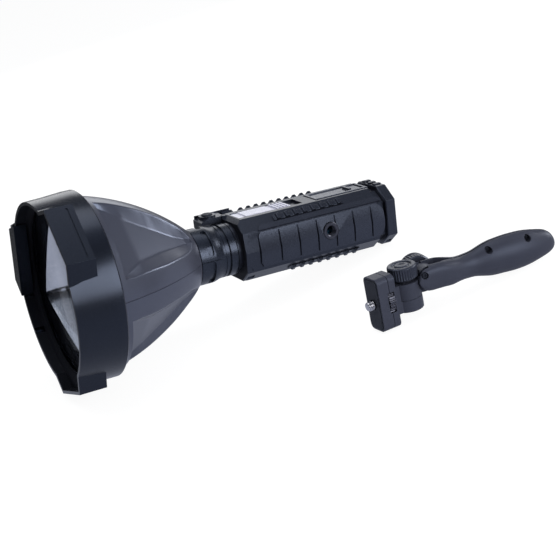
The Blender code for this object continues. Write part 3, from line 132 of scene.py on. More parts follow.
BEZEL = surface("bezel_satin", (0.0045, 0.0055, 0.009), 0.26, specular=0.42, grain=1400,
                bump=0.004, spread=0.015, blotch=45)
BELL = surface("bell_gloss", (0.036, 0.038, 0.053), 0.3, specular=0.85, grain=1600, bump=0.004,
               vary=0.05, spread=0.015, blotch=30)
BODY = surface("body_nylon", (0.009, 0.01, 0.015), 0.3, specular=0.55, grain=2600, blotch=70)
COVER = surface("cover_nylon", (0.026, 0.028, 0.038), 0.26, specular=0.7, grain=2600, bump=0.08,
                blotch=70)
PANEL = surface("panel_rubber", (0.012, 0.013, 0.019), 0.28, specular=0.65, grain=3200, blotch=80)
NECK = surface("neck_satin", (0.0065, 0.008, 0.0125), 0.3, specular=0.55, grain=1500, bump=0.03)
GRIP = surface("grip_plastic", (0.031, 0.033, 0.047), 0.44, specular=0.28, grain=2400,
               bump=0.1, vary=0.06)
KNOB = surface("knob_plastic", (0.018, 0.0195, 0.028), 0.36, grain=2200, bump=0.1, vary=0.08)
FACE = surface("face_rubber", (0.018, 0.0195, 0.025), 0.6, specular=0.35, grain=3600, bump=0.3)
SLIDE = surface("slide_silver", (0.6, 0.6, 0.69), 0.3, grain=1800, bump=0.02, vary=0.04)
STEEL = surface("screw_steel", (0.42, 0.42, 0.45), 0.2, metallic=1.0, grain=2600, bump=0.06,
                vary=0.06)
DARK_STEEL = surface("dark_steel", (0.06, 0.062, 0.08), 0.3, metallic=0.9, grain=2200,
                     bump=0.06, vary=0.1)
BLACK_STEEL = surface("black_steel", (0.008, 0.008, 0.011), 0.45, metallic=0.3, grain=2200,
                      bump=0.06, vary=0.1)
MIRROR = surface("reflector_mirror", (0.83, 0.83, 0.87), 0.14, metallic=1.0, grain=300, bump=0.02,
                 vary=0.05)
# Matt black for dark parts, also used as painted shade inside the bezel and on the body's front
# face
BLACK_AND_PAINTED_SHADE = surface("matt_black_and_painted_shade", (0.006, 0.006, 0.008), 0.65, specular=0.2, grain=1800, bump=0.1)
BOARD = surface("board_green", (0.02, 0.12, 0.06), 0.5)
EMITTER = surface("emitter_yellow", (0.85, 0.72, 0.25), 0.4, bump=0.02)
METAL = surface("plain_metal", (0.6, 0.61, 0.62), 0.38, metallic=1.0, bump=0.03)
WRAP = surface("cell_wrap", (0.05, 0.16, 0.3), 0.4, bump=0.02)
GLASS = glass("lens_glass", (0.96, 0.98, 1.0))


# Mesh tools

WELD = 0.004 * MM
FINE_WELD = 0.002 * MM
FLAT = radians(0.4)


def placed(name, data):
    made = bpy.data.objects.new(name, data)
    bpy.context.scene.collection.objects.link(made)
    return made


def solid(mesh):
    """Turn a bmesh into a plain object with outward faces."""
    bmesh.ops.recalc_face_normals(mesh, faces=mesh.faces[:])
    data = bpy.data.meshes.new("solid")
    mesh.to_mesh(data)
    mesh.free()
    return placed("solid", data)


def applied(made):
    """Bake an object's modifiers into its mesh."""
    bpy.context.view_layer.update()
    graph = bpy.context.evaluated_depsgraph_get()
    data = bpy.data.meshes.new_from_object(made.evaluated_get(graph))
    made.modifiers.clear()
    made.data = data
    return made


def combine(made, operation, *others):
    """Cut, join or intersect an object with helper objects, which are then removed."""
    for other in others:
        change = made.modifiers.new("change", "BOOLEAN")
        change.operation = operation
        change.solver = "EXACT"
        change.object = other
        applied(made)
        bpy.data.objects.remove(other, do_unlink=True)
    return made


def cut(made, *others):
    return combine(made, "DIFFERENCE", *others)


def fuse(made, *others):
    return combine(made, "UNION", *others)


def soften(made, bevel, segments, angle):
    """Weld an object, clear its needless edges and bevel the ones sharper than the angle."""
    mesh = bmesh.new()
    mesh.from_mesh(made.data)
    bmesh.ops.remove_doubles(mesh, verts=mesh.verts[:], dist=FINE_WELD)
    bmesh.ops.dissolve_limit(mesh, angle_limit=FLAT, verts=mesh.verts[:], edges=mesh.edges[:])
    mesh.to_mesh(made.data)
    mesh.free()
    edge = made.modifiers.new("edge", "BEVEL")
    edge.width = bevel * MM
    edge.segments = segments
    edge.limit_method = "ANGLE"
    edge.angle_limit = radians(angle)
    edge.use_clamp_overlap = True
    applied(made)


def piece(name, made, material, nodes, body="searchlight", bevel=0.0, segments=2, smooth=32,
          bevel_angle=32):
    """Finish an object: soft edges, shading, material, place, body and the solids it stands for."""
    made.name = name
    if bevel:
        soften(made, bevel, segments, bevel_angle)
    data = made.data
    data.name = name
    data.materials.clear()
    data.materials.append(material)
    data.transform(PLACES[body])
    for face in data.polygons:
        face.use_smooth = True
    data.set_sharp_from_angle(angle=radians(smooth))
    if bevel:
        weight = made.modifiers.new("weight", "WEIGHTED_NORMAL")
        weight.keep_sharp = True
        applied(made)
    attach(made, body)
    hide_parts(*nodes)
    return made


def copied(name, body="searchlight"):
    """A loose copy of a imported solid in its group's frame, welded so that it can be softened."""
    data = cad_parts[name].data.copy()
    data.transform(PLACES[body].inverted())
    mesh = bmesh.new()
    mesh.from_mesh(data)
    bmesh.ops.remove_doubles(mesh, verts=mesh.verts[:], dist=WELD)
    for face in mesh.faces:
        face.smooth = False
    return solid(mesh)


def softened(name, node_name, material, bevel, segments=2, details=None, body="searchlight"):
    """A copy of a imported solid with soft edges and, where given, its finer details cut in."""
    made = copied(node_name, body)
    if details:
        details(made)
    return piece(name, made, material, [node_name], body, bevel, segments)


def recolour(made, material, test):
    """Paint shade with another finish on faces of the light that pass a test of middle and
    direction.
    """
    back = LIGHT.inverted()
    made.data.materials.append(material)
    index = len(made.data.materials) - 1
    for face in made.data.polygons:
        if test(back @ face.center / MM, back.to_3x3() @ face.normal):
            face.material_index = index


def axis_point(axis, along, first, second):
    points = {"X": (along, first, second), "Y": (first, along, second)}
    return points.get(axis, (first, second, along))


def grid(mesh, rows, ends=False, closed=False):
    """Faces over rings of points, with capped ends or with the last ring closed to the first."""
    rings = [[mesh.verts.new([value * MM for value in point]) for point in row] for row in rows]
    pairs = list(zip(rings, rings[1:]))
    if closed:
        pairs.append((rings[-1], rings[0]))
    for first, second in pairs:
        count = max(len(first), len(second))
        for step in range(count):
            after = (step + 1) % count
            corners = []
            for ring, spot in ((first, step), (first, after), (second, after), (second, step)):
                corner = ring[spot % len(ring)]
                if corner not in corners:
                    corners.append(corner)
            if len(corners) > 2:
                mesh.faces.new(corners)
    if ends:
        for ring in (rings[0], rings[-1]):
            mesh.faces.new(ring)
    return rings


def lofted(rows, ends=False, closed=False):
    mesh = bmesh.new()
    grid(mesh, rows, ends, closed)
    return solid(mesh)


def ring_rows(outline, sides, axis, centre):
    """A ring of points for each (along, radius) of an outline, or one point on the axis."""
    return [[axis_point(axis, along, centre[0] + radius * sin(2 * pi * step / sides),
                        centre[1] + radius * cos(2 * pi * step / sides))
             for step in range(sides if radius else 1)] for along, radius in outline]


def turned(outline, sides=128, axis="X", centre=(0, 0)):
    """A closed outline of (along, radius) points turned about an axis."""
    return lofted(ring_rows(outline, sides, axis, centre), closed=True)


def rod(low, high, radius, sides=64, axis="X", centre=(0, 0)):
    return turned([(low, 0), (low, radius), (high, radius), (high, 0)], sides, axis, centre)


def extruded(outline, low, high, axis="X"):
    rows = [[axis_point(axis, along, *point) for point in outline] for along in (low, high)]
    return lofted(rows, ends=True)


def block(low, high):
    outline = [(low[1], low[2]), (high[1], low[2]), (high[1], high[2]), (low[1], high[2])]
    return extruded(outline, low[0], high[0])


def side_block(side, x, y, z):
    """A block between two places on each axis, with y measured outwards on one side."""
    low, high = sorted((side * y[0], side * y[1]))
    return block((x[0], low, z[0]), (x[1], high, z[1]))


def arc(centre, radius, start, end, steps):
    turns = [start + (end - start) * step / steps for step in range(steps + 1)]
    return [(centre[0] + radius * cos(turn), centre[1] + radius * sin(turn)) for turn in turns]


# The head

ROUND = 168
HEAD_RADIUS = 63
BAND_RADIUS = 64.5
BEZEL_LENGTH = 32.8
BEZEL_WALL = 2.2
BORE = HEAD_RADIUS - BEZEL_WALL
LIP_FRONT = 7.1
LIP_BACK = 10.7
LIP_DEPTH = 3.6
PAD_TURN = radians(16)
PAD_LENGTH = 18.9
PAD_REACH = 67.9
PAD_HALF = 21.4
PAD_FOOT_HALF = 28.9
PAD_ROOT = 1.12
PAD_GROOVE = (13.6, 14.9)
PAD_GROOVE_OUTLINE = ((-19, 67.2), (-19, 70), (19, 70), (19, 67.2))
OVER = 2  # how far cutting solids reach outside what they cut


def pad_point(angle, across, reach):
    """A point of the cross-section given along and across one pad's own direction."""
    return (-reach * sin(angle) - across * cos(angle), -reach * cos(angle) + across * sin(angle))


def pad_prism(angle, low, high, inset=0):
    """A pad's wedge, whose flanks run on a little way below the ring's surface."""
    reach = PAD_REACH - inset
    half = PAD_HALF - inset / 2
    foot_half = PAD_FOOT_HALF - inset
    foot = sqrt((HEAD_RADIUS - inset) ** 2 - foot_half ** 2)
    foot_half = half + (foot_half - half) * PAD_ROOT
    foot = reach + (foot - reach) * PAD_ROOT
    outline = [pad_point(angle, -half, reach), pad_point(angle, half, reach),
               pad_point(angle, foot_half, foot), pad_point(angle, -foot_half, foot)]
    return extruded(outline, low, high)


def bezel():
    """The bezel ring: three pads, a groove near each pad's rear, its lip and painted shade inside.
    """
    edge = 0.9
    ring = turned([(0, 0), (0, HEAD_RADIUS), (12, HEAD_RADIUS + 0.5), (20, BAND_RADIUS - 0.45),
                   (26, BAND_RADIUS), (BEZEL_LENGTH - edge, BAND_RADIUS),
                   (BEZEL_LENGTH, BAND_RADIUS - edge), (BEZEL_LENGTH, 0)], ROUND)
    angles = [PAD_TURN + 2 * pi * number / 3 for number in range(3)]
    fuse(ring, *[pad_prism(angle, 0, PAD_LENGTH) for angle in angles])
    cut(ring, turned([(-OVER, 0), (-OVER, BORE), (LIP_FRONT, BORE),
                      (LIP_FRONT + LIP_DEPTH / 2, BORE - LIP_DEPTH), (LIP_BACK, BORE - LIP_DEPTH),
                      (LIP_BACK, BORE), (BEZEL_LENGTH + OVER, BORE), (BEZEL_LENGTH + OVER, 0)],
                     ROUND))
    cut(ring, *[pad_prism(angle, -OVER, LIP_FRONT - GAP, BEZEL_WALL) for angle in angles])
    for angle in angles:
        groove = [pad_point(angle, x, z) for x, z in PAD_GROOVE_OUTLINE]
        cut(ring, extruded(groove, *PAD_GROOVE))
    made = piece("bezel", ring, BEZEL, ["bezel_ring"], bevel=0.4, segments=3)

    # Faces turned to the axis and the lip's front-facing faces get painted shade: matt black,
    # barely reflective
    def inside(middle, way):
        spread = hypot(middle.y, middle.z)
        inward = way.y * middle.y + way.z * middle.z < -0.2 * spread * way.length
        lip = way.x < -0.3 and 1 < middle.x < 12 and spread < BORE
        return middle.x > 0.3 and inward or lip

    recolour(made, BLACK_AND_PAINTED_SHADE, inside)


def lens_stack():
    """Lens, seal and the mask round the reflector's mouth."""
    radius = BORE - GAP
    front = 11
    back = 14
    lens = turned([(front, 0), (front, radius - 1.2), (front + 0.4, radius - 0.4),
                   (front + 0.8, radius), (back, radius), (back, 0)], ROUND)
    piece("lens_glass", lens, GLASS, ["lens"])
    softened("lens_gasket_fine", "lens_gasket", FACE, 0)
    softened("lens_baffle_fine", "lens_baffle", BLACK_AND_PAINTED_SHADE, 0.2)


MOUTH = 17.3
BOWL_END = 62
BOWL_CORNER = 54.6
BOWL_WALL = 1.6
BOWL_LEVELS = ((0, 1), (0.05, 0.955), (0.16, 0.84), (0.34, 0.715), (0.55, 0.55), (0.78, 0.375),
               (1, 0.2))
BOWL_STEPS = 6


def square(place, corner):
    """A square ring of points across the axis, each side divided into equal steps."""
    corners = [Vector((place, -corner * sin(PAD_TURN + pi / 2 * number),
                       -corner * cos(PAD_TURN + pi / 2 * number))) for number in range(5)]
    return [one.lerp(two, step / BOWL_STEPS)
            for one, two in zip(corners, corners[1:]) for step in range(BOWL_STEPS)]


def reflector():
    """The bowl behind the lens: a wide bevelled mouth and rows of flat facets."""
    rows = [square(MOUTH + (BOWL_END - MOUTH) * along, BOWL_CORNER * size)
            for along, size in BOWL_LEVELS]
    front = []
    for first, second in zip(rows, rows[1:]):
        front += [[one.lerp(two, share) for one, two in zip(first, second)] for share in (0, 0.5)]
    front.append(rows[-1])
    back = [[point + Vector((BOWL_WALL, 0, 0)) for point in ring] for ring in reversed(front)]
    for point in sum(back, []):
        spread = hypot(point.y, point.z)
        point.y *= (spread + BOWL_WALL) / spread
        point.z *= (spread + BOWL_WALL) / spread
    bowl = lofted(front + back, closed=True)
    piece("reflector_bowl", bowl, MIRROR, ["reflector"], smooth=4)


BELL_START = 33.1
BELL_START_RADIUS = 60.3
BELL_END = 105
BELL_END_RADIUS = 20.6
BULGE = 5.8
BELL_WALL = 2.4
SLEEVE_START = 19
SLEEVE_WALL = 2.6
SPIGOT = ((105, 20.2), (105, 15.3), (118, 15.3), (118, 12.9), (103.2, 12.9))
PETAL_START = 37.5
PETAL_END = 100.2
PETAL_STEP = 0.05
PETAL_ROUNDING = 0.9
PARTING_DEPTH = 0.45
OUT_OF_REACH = 1000
FLOOR_PLACES = (0, 0.25, 0.54, 0.8, 0.93, 1)
FLOOR_HALVES = (28.5, 17.5, 10, 4, 2, 1)
FLOOR_REACHES = (49, 44.6, 36.6, 28.4, 25.4, 24.8)
RIM_PLACES = (0, 0.13, 0.35, 0.5, 0.6, 0.79, 0.87, 0.92, 0.96, 1)
RIM_HALVES = (30.5, 29.3, 25.3, 22.6, 20.3, 14.8, 12, 9.4, 6.4, 1.6)
WALL_SHARES = (0.12, 0.28, 0.46, 0.64, 0.8, 0.9, 0.96, 1)
ROUND_SHARES = (0.03, 0.07, 0.13, 0.22, 0.36, 0.52, 0.7, 0.86, 1)


def bell_radius(x):
    """Radius of the bell's bulged side at a place along the axis."""
    start = Vector((BELL_START, BELL_START_RADIUS))
    end = Vector((BELL_END, BELL_END_RADIUS))
    chord = end - start
    radius = (chord.length ** 2 / 4 + BULGE ** 2) / (2 * BULGE)
    normal = Vector((-chord.y, chord.x)).normalized()
    centre = (start + end) / 2 - normal * (radius - BULGE)
    return centre.y + sqrt(max(radius ** 2 - (x - centre.x) ** 2, 0))


def table(place, places, values):
    """Linear interpolation in a short table."""
    for number in range(len(places) - 1):
        if place <= places[number + 1]:
            share = (place - places[number]) / (places[number + 1] - places[number])
            return values[number] + (values[number + 1] - values[number]) * share
    return values[-1]


def petal_lines(x):
    """A petal's floor and rim at a place along the axis: half widths and distances."""
    share = min(max((x - PETAL_START) / (PETAL_END - PETAL_START), 0), 1)
    half = table(share, FLOOR_PLACES, FLOOR_HALVES)
    floor = table(share, FLOOR_PLACES, FLOOR_REACHES)
    rim = table(share, RIM_PLACES, RIM_HALVES)
    return half, floor, rim, sqrt(bell_radius(x) ** 2 - rim ** 2)


def petal_radius(size, half, floor, rim, reach):
    """Distance from the axis to a petal's floor, or to the plane of its side wall."""
    if size <= atan2(half, floor):
        return floor / cos(size)
    turn = sin(size) * (reach - floor) - cos(size) * (rim - half)
    if turn > -0.05:
        return OUT_OF_REACH
    return (half * (reach - floor) - floor * (rim - half)) / turn


def soft_least(one, two, reach):
    """The lesser of two lengths, rounded off where they meet."""
    overlap = max(reach - abs(one - two), 0)
    return min(one, two) - overlap ** 2 / (4 * reach)


def bell_row(x):
    """One ring of the bell's outside, its points gathered along the petals' edges."""
    half, floor, rim, reach = petal_lines(x)
    round_radius = bell_radius(x)
    edge = atan2(half, floor)
    top = max(atan2(rim, reach), edge + radians(0.8))
    quarter = pi / 4
    limit = quarter - radians(0.28)
    marks = [edge * step / 10 for step in range(11)]
    marks += [edge + (top - edge) * share for share in WALL_SHARES]
    marks += [top + (limit - top) * share for share in ROUND_SHARES]
    ring = []
    for number in range(4):
        centre = quarter + pi / 2 * number
        for angle in [-mark for mark in reversed(marks)] + marks[1:] + [quarter]:
            radius = round_radius
            if angle == quarter:
                radius -= PARTING_DEPTH
            elif PETAL_START <= x <= PETAL_END:
                deep = petal_radius(abs(angle), half, floor, rim, reach)
                radius = soft_least(deep, round_radius, PETAL_ROUNDING)
            turn = centre + angle
            ring.append((x, -radius * sin(turn), -radius * cos(turn)))
    return ring


def bell_places():
    """Places of the bell's rings: even steps between the stations of the petals' tables."""
    places = [BELL_START + (PETAL_START - BELL_START) * step / 4 for step in range(4)]
    places += [PETAL_START - PETAL_STEP, PETAL_START + PETAL_STEP]
    length = PETAL_END - PETAL_START
    stations = sorted(set(FLOOR_PLACES + RIM_PLACES))
    for first, last in zip(stations, stations[1:]):
        steps = max(int(36 * (last - first)), 2)
        places += [PETAL_START + length * (first + (last - first) * (step + 1) / steps)
                   for step in range(steps)]
    places[-1] -= PETAL_STEP
    return places + [PETAL_END + PETAL_STEP, 103, 104.4]


def bell():
    """The head shell: a hollow bulged bell with four faceted petals, parting lines and spigot."""
    def hoop(x, radius, like):
        return [(x, y * radius / hypot(y, z), z * radius / hypot(y, z)) for _, y, z in like]

    def inner(x, y, z):
        share = 1 - BELL_WALL / hypot(y, z)
        return x, y * share, z * share

    outside = [bell_row(x) for x in bell_places()]
    inside = [[inner(*point) for point in row] for row in outside[1:-2]]
    first = outside[0]
    sleeve = BORE - GAP
    rows = [hoop(SLEEVE_START, sleeve - SLEEVE_WALL, first), hoop(SLEEVE_START, sleeve, first),
            hoop(BEZEL_LENGTH, sleeve, first)]
    rows += outside
    rows += [hoop(along, radius, outside[-1]) for along, radius in SPIGOT]
    rows += list(reversed(inside))
    rows.append(hoop(BEZEL_LENGTH, sleeve - SLEEVE_WALL, first))
    piece("bell", lofted(rows, closed=True), BELL, ["head_shell"], smooth=26)


# The neck

NECK_START = 105.3
NECK_END = 134
NECK_BORE = 15.6
NECK_FRONT = 20.2
NECK_REAR = 18.6
NECK_GROOVES = ((124.4, 0.6, 0.45), (126.8, 2, 1.4))
SLOT_COUNT = 5
SLOT_START = radians(-7.4)
SLOT_SHARE = 0.84
SLOT_RANGE = (111.5, 115.7)
SLOT_DEPTH = 1.6


def stadium(angle_low, angle_high, low, high, inner, outer, steps=8):
    """A round-ended slot bent round the axis."""
    radius = (high - low) / 2
    middle = (low + high) / 2
    end = radius / outer
    turns = [pi * step / steps for step in range(steps + 1)]
    outline = [(angle_high - end + end * sin(turn), middle - radius * cos(turn)) for turn in turns]
    outline += [(angle_low + end - end * sin(turn), middle + radius * cos(turn)) for turn in turns]
    fine = []
    for first, second in zip(outline, outline[1:] + outline[:1]):
        parts = max(int(abs(second[0] - first[0]) / radians(4)), 1)
        for share in (step / parts for step in range(parts)):
            fine.append((first[0] + (second[0] - first[0]) * share,
                         first[1] + (second[1] - first[1]) * share))
    mesh = bmesh.new()
    for ring in grid(mesh, [[(x, reach * sin(a), reach * cos(a)) for a, x in fine]
                            for reach in (inner, outer)]):
        bmesh.ops.triangulate(mesh, faces=[mesh.faces.new(ring)])
    return solid(mesh)


def neck():
    """The sleeve between head and body, with round-ended slots, grooves and a parting line."""
    outline = [(NECK_START, NECK_BORE), (NECK_START, NECK_FRONT - 0.3),
               (NECK_START + 0.3, NECK_FRONT), (116.2, NECK_FRONT), (117.6, NECK_FRONT - 0.15),
               (119.4, NECK_FRONT - 0.6), (121.4, NECK_REAR + 0.35), (122.9, NECK_REAR + 0.05),
               (123.6, NECK_REAR)]
    for low, wide, depth in NECK_GROOVES:
        outline += [(low, NECK_REAR), (low, NECK_REAR - depth),
                    (low + wide, NECK_REAR - depth), (low + wide, NECK_REAR)]
    outline += [(NECK_END - 0.3, NECK_REAR), (NECK_END, NECK_REAR - 0.3), (NECK_END, NECK_BORE)]
    sleeve = turned(outline, 144)
    pitch = 2 * pi / SLOT_COUNT
    for number in range(SLOT_COUNT):
        start = SLOT_START + pitch * number
        cut(sleeve, stadium(start, start + pitch * SLOT_SHARE, *SLOT_RANGE,
                            NECK_FRONT - SLOT_DEPTH, NECK_FRONT + OVER))
    for side in (-1, 1):
        cut(sleeve, side_block(side, (NECK_START - 1, 126), (18.2, 22), (-0.2, 0.2)))
    piece("neck", sleeve, NECK, ["neck_sleeve"], bevel=0.14)


# The battery body

HALF_WIDTH = 24.3
HALF_HEIGHT = 22.2
SIDE_HALF = 13.2
TOP_HALF = 12.7
CHAMFER_RUN = HALF_WIDTH - TOP_HALF
CHAMFER_RISE = HALF_HEIGHT - SIDE_HALF
CHAMFER = hypot(CHAMFER_RUN, CHAMFER_RISE)
BODY_START = 137
BODY_END = 260.8
BODY_WALL = 1.2
BEYOND = 30  # outside the body and the handle on every side
DRAIN_LEVEL = 16.2
CREASE_END = 14.6
SIDE_SLOPE = 0.1075
UPPER_SLOPE = 0.16
PANEL_FACE = HALF_WIDTH + 1.2
PANEL_FOOT = HALF_WIDTH - 1
PANEL_HALF = 16
PANEL_GROOVES = 6
PANEL_GROOVE_START = 164.2
PANEL_GROOVE_PITCH = 15
STRIP = ((148.8, 1.4), (151.8, 5.6), (246.5, 5.6), (249, 3.4), (249, 1.4))
STRIP_HALF = 0.9
SOCKET = (204.8, 1.8)


def octagon(inset=0):
    """The body's cross-section, every flat moved inwards by the inset."""
    corner_in = inset * (CHAMFER - CHAMFER_RISE) / CHAMFER_RUN
    corner_down = inset * (CHAMFER - CHAMFER_RUN) / CHAMFER_RISE
    top = (TOP_HALF - corner_in, HALF_HEIGHT - inset)
    side = (HALF_WIDTH - inset, SIDE_HALF - corner_down)
    return [side, top, (-top[0], top[1]), (-side[0], side[1]), (-side[0], -side[1]),
            (-top[0], -top[1]), (top[0], -top[1]), (side[0], -side[1])]


def drain_slots(made, start, end, half, top):
    """Two slots low at the body's corners."""
    for side in (-1, 1):
        cut(made, block((start, side * DRAIN_LEVEL - half, -HALF_HEIGHT - OVER),
                        (end, side * DRAIN_LEVEL + half, top)))


def tube_details(made):
    """Drain slots, the slanted front edge of the top and the crease along each side."""
    drain_slots(made, 139, 144.6, 1.9, -17.6)
    slant = ((136, 19), (141, 22.25), (141, 26), (136, 26))
    cut(made, lofted([[(x, y, z) for x, z in slant] for y in (-30, 8.2)], ends=True))
    far = 28
    for side in (-1, 1):
        for level in (-1, 1):
            foot = side * (HALF_WIDTH - SIDE_SLOPE * CREASE_END)
            wedge = [(side * (HALF_WIDTH + 0.02), 0), (foot, level * CREASE_END),
                     (side * far, level * CREASE_END), (side * far, 0)]
            cut(made, extruded(wedge, BODY_START - 1, 258))


def cap_details(made):
    drain_slots(made, 254.6, 259.2, 1.8, -18)


def body_tube():
    """Tube, front plate and the fin by the button, with painted shade on the front round the neck.
    """
    made = copied("body_shell")
    ring = extruded(octagon(), 139.9, 142.2)
    cut(ring, extruded(octagon(BODY_WALL), 139, 143))
    fin = block((121.7, 22.95, 13.2), (149.5, 23.6, 22.8))
    fuse(made, ring, copied("front_cap"), fin)
    tube_details(made)
    made = piece("body_tube", made, BODY, ["body_shell", "front_cap"], bevel=0.32,
                 segments=3)

    # The front face round the neck gets painted shade: matt black in place of the body's finish
    def front(middle, way):
        level = abs(middle.x - BODY_START) < 1
        return way.x < -0.8 and level and hypot(middle.y, middle.z) < 24

    recolour(made, BLACK_AND_PAINTED_SHADE, front)


def panel_outline(start, end, low, high):
    """Side view of a side panel: cut corners in front, round ones behind."""
    radius = 8
    slant = 3
    points = [(start, low + slant), (start, high - slant), (start + slant / 2, high),
              (end - radius, high)]
    points += arc((end - radius, high - radius), radius, pi / 2, 0, 10)[1:]
    points += arc((end - radius, low + radius), radius, 0, -pi / 2, 10)
    points.append((start + slant / 2, low))
    return points


def panel(name, node_name, side):
    """A raised side panel, creased along its middle and parted by grooves."""
    foot = PANEL_FOOT - 0.7
    profile = [(side * foot, -PANEL_HALF),
               (side * (PANEL_FACE - PANEL_HALF * SIDE_SLOPE), -PANEL_HALF),
               (side * PANEL_FACE, 0), (side * (PANEL_FACE - PANEL_HALF * UPPER_SLOPE), PANEL_HALF),
               (side * foot, PANEL_HALF), (side * PANEL_FOOT, 0)]
    made = extruded(profile, 146, 252)
    outline = panel_outline(148.3, 250, -12, 13)
    combine(made, "INTERSECT", extruded(outline, side * 10, side * BEYOND, "Y"))
    half = 0.6
    for number in range(PANEL_GROOVES):
        place = PANEL_GROOVE_START + PANEL_GROOVE_PITCH * number
        cut(made, side_block(side, (place - half, place + half), (PANEL_FOOT + 0.1, BEYOND),
                             (-10.6, 12)))
    if side < 0:
        cut(made, rod(-BEYOND, -20, 6.4, 56, "Y", SOCKET))
        fuse(made, chamfer_strip(side))
    piece(name, made, PANEL, [node_name], bevel=0.28, segments=3)


def chamfer_strip(side):
    """The thin strip that lies on the upper chamfer above the near panel."""
    corner = Vector((0, side * HALF_WIDTH, SIDE_HALF))
    along = Vector((0, -side * CHAMFER_RUN / CHAMFER, CHAMFER_RISE / CHAMFER))
    out = Vector((0, side * CHAMFER_RISE / CHAMFER, CHAMFER_RUN / CHAMFER))
    return lofted([[corner + Vector((x, 0, 0)) + along * s + out * level
                    for x, s in STRIP] for level in (-STRIP_HALF, STRIP_HALF)], ends=True)


def body_pieces():
    """Tube, caps, rails, panels and cover, with soft edges and fine details."""
    body_tube()
    softened("rear_cap", "end_cap", BODY, 0.35, 3, cap_details)
    softened("top_plate", "top_cover", COVER, 0.14)
    for name in ("rail_top_far", "rail_top_near", "rail_bottom_far", "rail_bottom_near"):
        softened(name + "_soft", name, BODY, 0.28)
    panel("panel_near", "side_panel_near", -1)
    panel("panel_far", "side_panel_far", 1)


THREAD_PITCH = 1.27
THREAD_SIDES = 56
SOCKET_LENGTH = 5.5


def thread(low, high, minor, major, axis, centre, steps=8, inside=False):
    """Rows of points over a camera screw's thread: the radius rises and falls along a helix."""
    rows = []
    start, depth = (major, minor - major) if inside else (minor, major - minor)
    count = int((high - low) / THREAD_PITCH * steps)
    for number in range(count + 1):
        along = low + (high - low) * number / count
        fade = min((along - low) / THREAD_PITCH, (high - along) / THREAD_PITCH, 1)
        row = []
        for step in range(THREAD_SIDES):
            share = step / THREAD_SIDES
            phase = (along / THREAD_PITCH - share) % 1
            ridge = min(1, max(0, 1.35 - abs(phase - 0.5) * 3.2)) * fade
            radius = start + depth * ridge
            turn = 2 * pi * share
            row.append(axis_point(axis, along, centre[0] + radius * sin(turn),
                                  centre[1] + radius * cos(turn)))
        rows.append(row)
    return rows


def socket():
    """The threaded metal insert in the near side, with a countersunk face."""
    face = -PANEL_FACE - 0.4
    inner = face + SOCKET_LENGTH
    seat = -(HALF_WIDTH - BODY_WALL + GAP)
    throat = face + 0.5
    around = ring_rows([(inner, 5), (seat, 5), (seat, 6.1), (face + 0.35, 6.1), (face, 5.75),
                        (face, 4.1), (throat, 3.5)], THREAD_SIDES, "Y", SOCKET)
    bore = thread(throat, inner - 0.1, 2.9, 3.4, "Y", SOCKET, inside=True)
    insert = lofted(around + bore[1:], closed=True)
    piece("socket_insert", insert, DARK_STEEL, ["side_socket"])


def switches():
    """The slide and the round push button with a dished top."""
    softened("slide_plate", "slide_switch", SLIDE, 0.16, body="slide_switch")
    top = HALF_HEIGHT + 2
    flange = HALF_HEIGHT - 1.3
    outline = [(flange - 1, 0), (flange - 1, 4.6), (flange, 4.6), (flange, 4), (top - 0.7, 4),
               (top - 0.2, 3.8), (top, 3.3), (top - 0.15, 2.4), (top - 0.25, 0)]
    cap = turned(outline, 64, "Z", (129, 17))
    piece("button_cap", cap, FACE, ["push_button"], "push_button", bevel=0.08)


def cut_cross(screw, axis, low, high, centre, reach, slot):
    """A cross recess in a screw's head."""
    for across, up in ((reach, slot), (slot, reach)):
        cut(screw, block(axis_point(axis, low, centre[0] - across, centre[1] - up),
                         axis_point(axis, high, centre[0] + across, centre[1] + up)))


def pan_head(seat, centre):
    """A small pan-head screw along x with a cross recess."""
    low = seat - 7
    high = seat + 1.6
    shank = 1.6
    head = 2.8
    outline = [(low, 0), (low, shank), (seat, shank), (seat, head)]
    outline += [(seat + (high - seat) * sin(turn), head * (0.72 + 0.28 * cos(turn)))
                for turn in (radians(20), radians(50), radians(80))]
    outline += [(high, head * 0.6), (high, 0)]
    screw = turned(outline, 40, "X", centre)
    cut_cross(screw, "X", high - (high - seat) * 0.6, high + 1, centre, head * 0.55, head * 0.16)
    return screw


def cap_screws():
    seat = BODY_END - 8.2 / 3 + GAP
    corners = [(side, level) for side in (-1, 1) for level in (-1, 1)]
    for number, (side, level) in enumerate(corners, 1):
        piece("cap_screw_%d" % number, pan_head(seat, (side * 14, level * 12.2)),
              STEEL, ["end_cap_screw_%d" % number])


# The grip

KNUCKLE_LOW = 15.5
KNUCKLE_HIGH = 26.2
LEVEL = (KNUCKLE_LOW + KNUCKLE_HIGH) / 2 + 3.6
MOUNT_LEVEL = 17.85
SCREW_END = -5.3
THREAD_MINOR = 2.62
THREAD_MAJOR = 3.175
SHANK = 2.4
WHEEL_FRONT = 6.8
WHEEL_BACK = 11
WHEEL_RADIUS = 9.4
WHEEL_NOTCHES = 20
WHEEL_NOTCH = ((0, 0.15), (0.1, 0), (0.42, 0), (0.52, 0.15), (0.6, 0.8), (0.92, 0.8))
KNOB_RIBS = 36
KNOB_SIDES = 8 * KNOB_RIBS
KNOB_RIB_DEPTH = 0.55
TILT = 15.2
HANDLE_END = 108.3
HANDLE_LENGTH = HANDLE_END - TILT
BELLY = 12.5
FORK_HALF = 4.9
CHEEK_WALL = 5.45
CHEEK_REACH = FORK_HALF + CHEEK_WALL
BARREL = 10.2
CHEEK_RADIUS = 8.7
CHEEK_SCREW_TURN = radians(42)
CHEEK_SCREW_REACH = CHEEK_RADIUS * 0.66


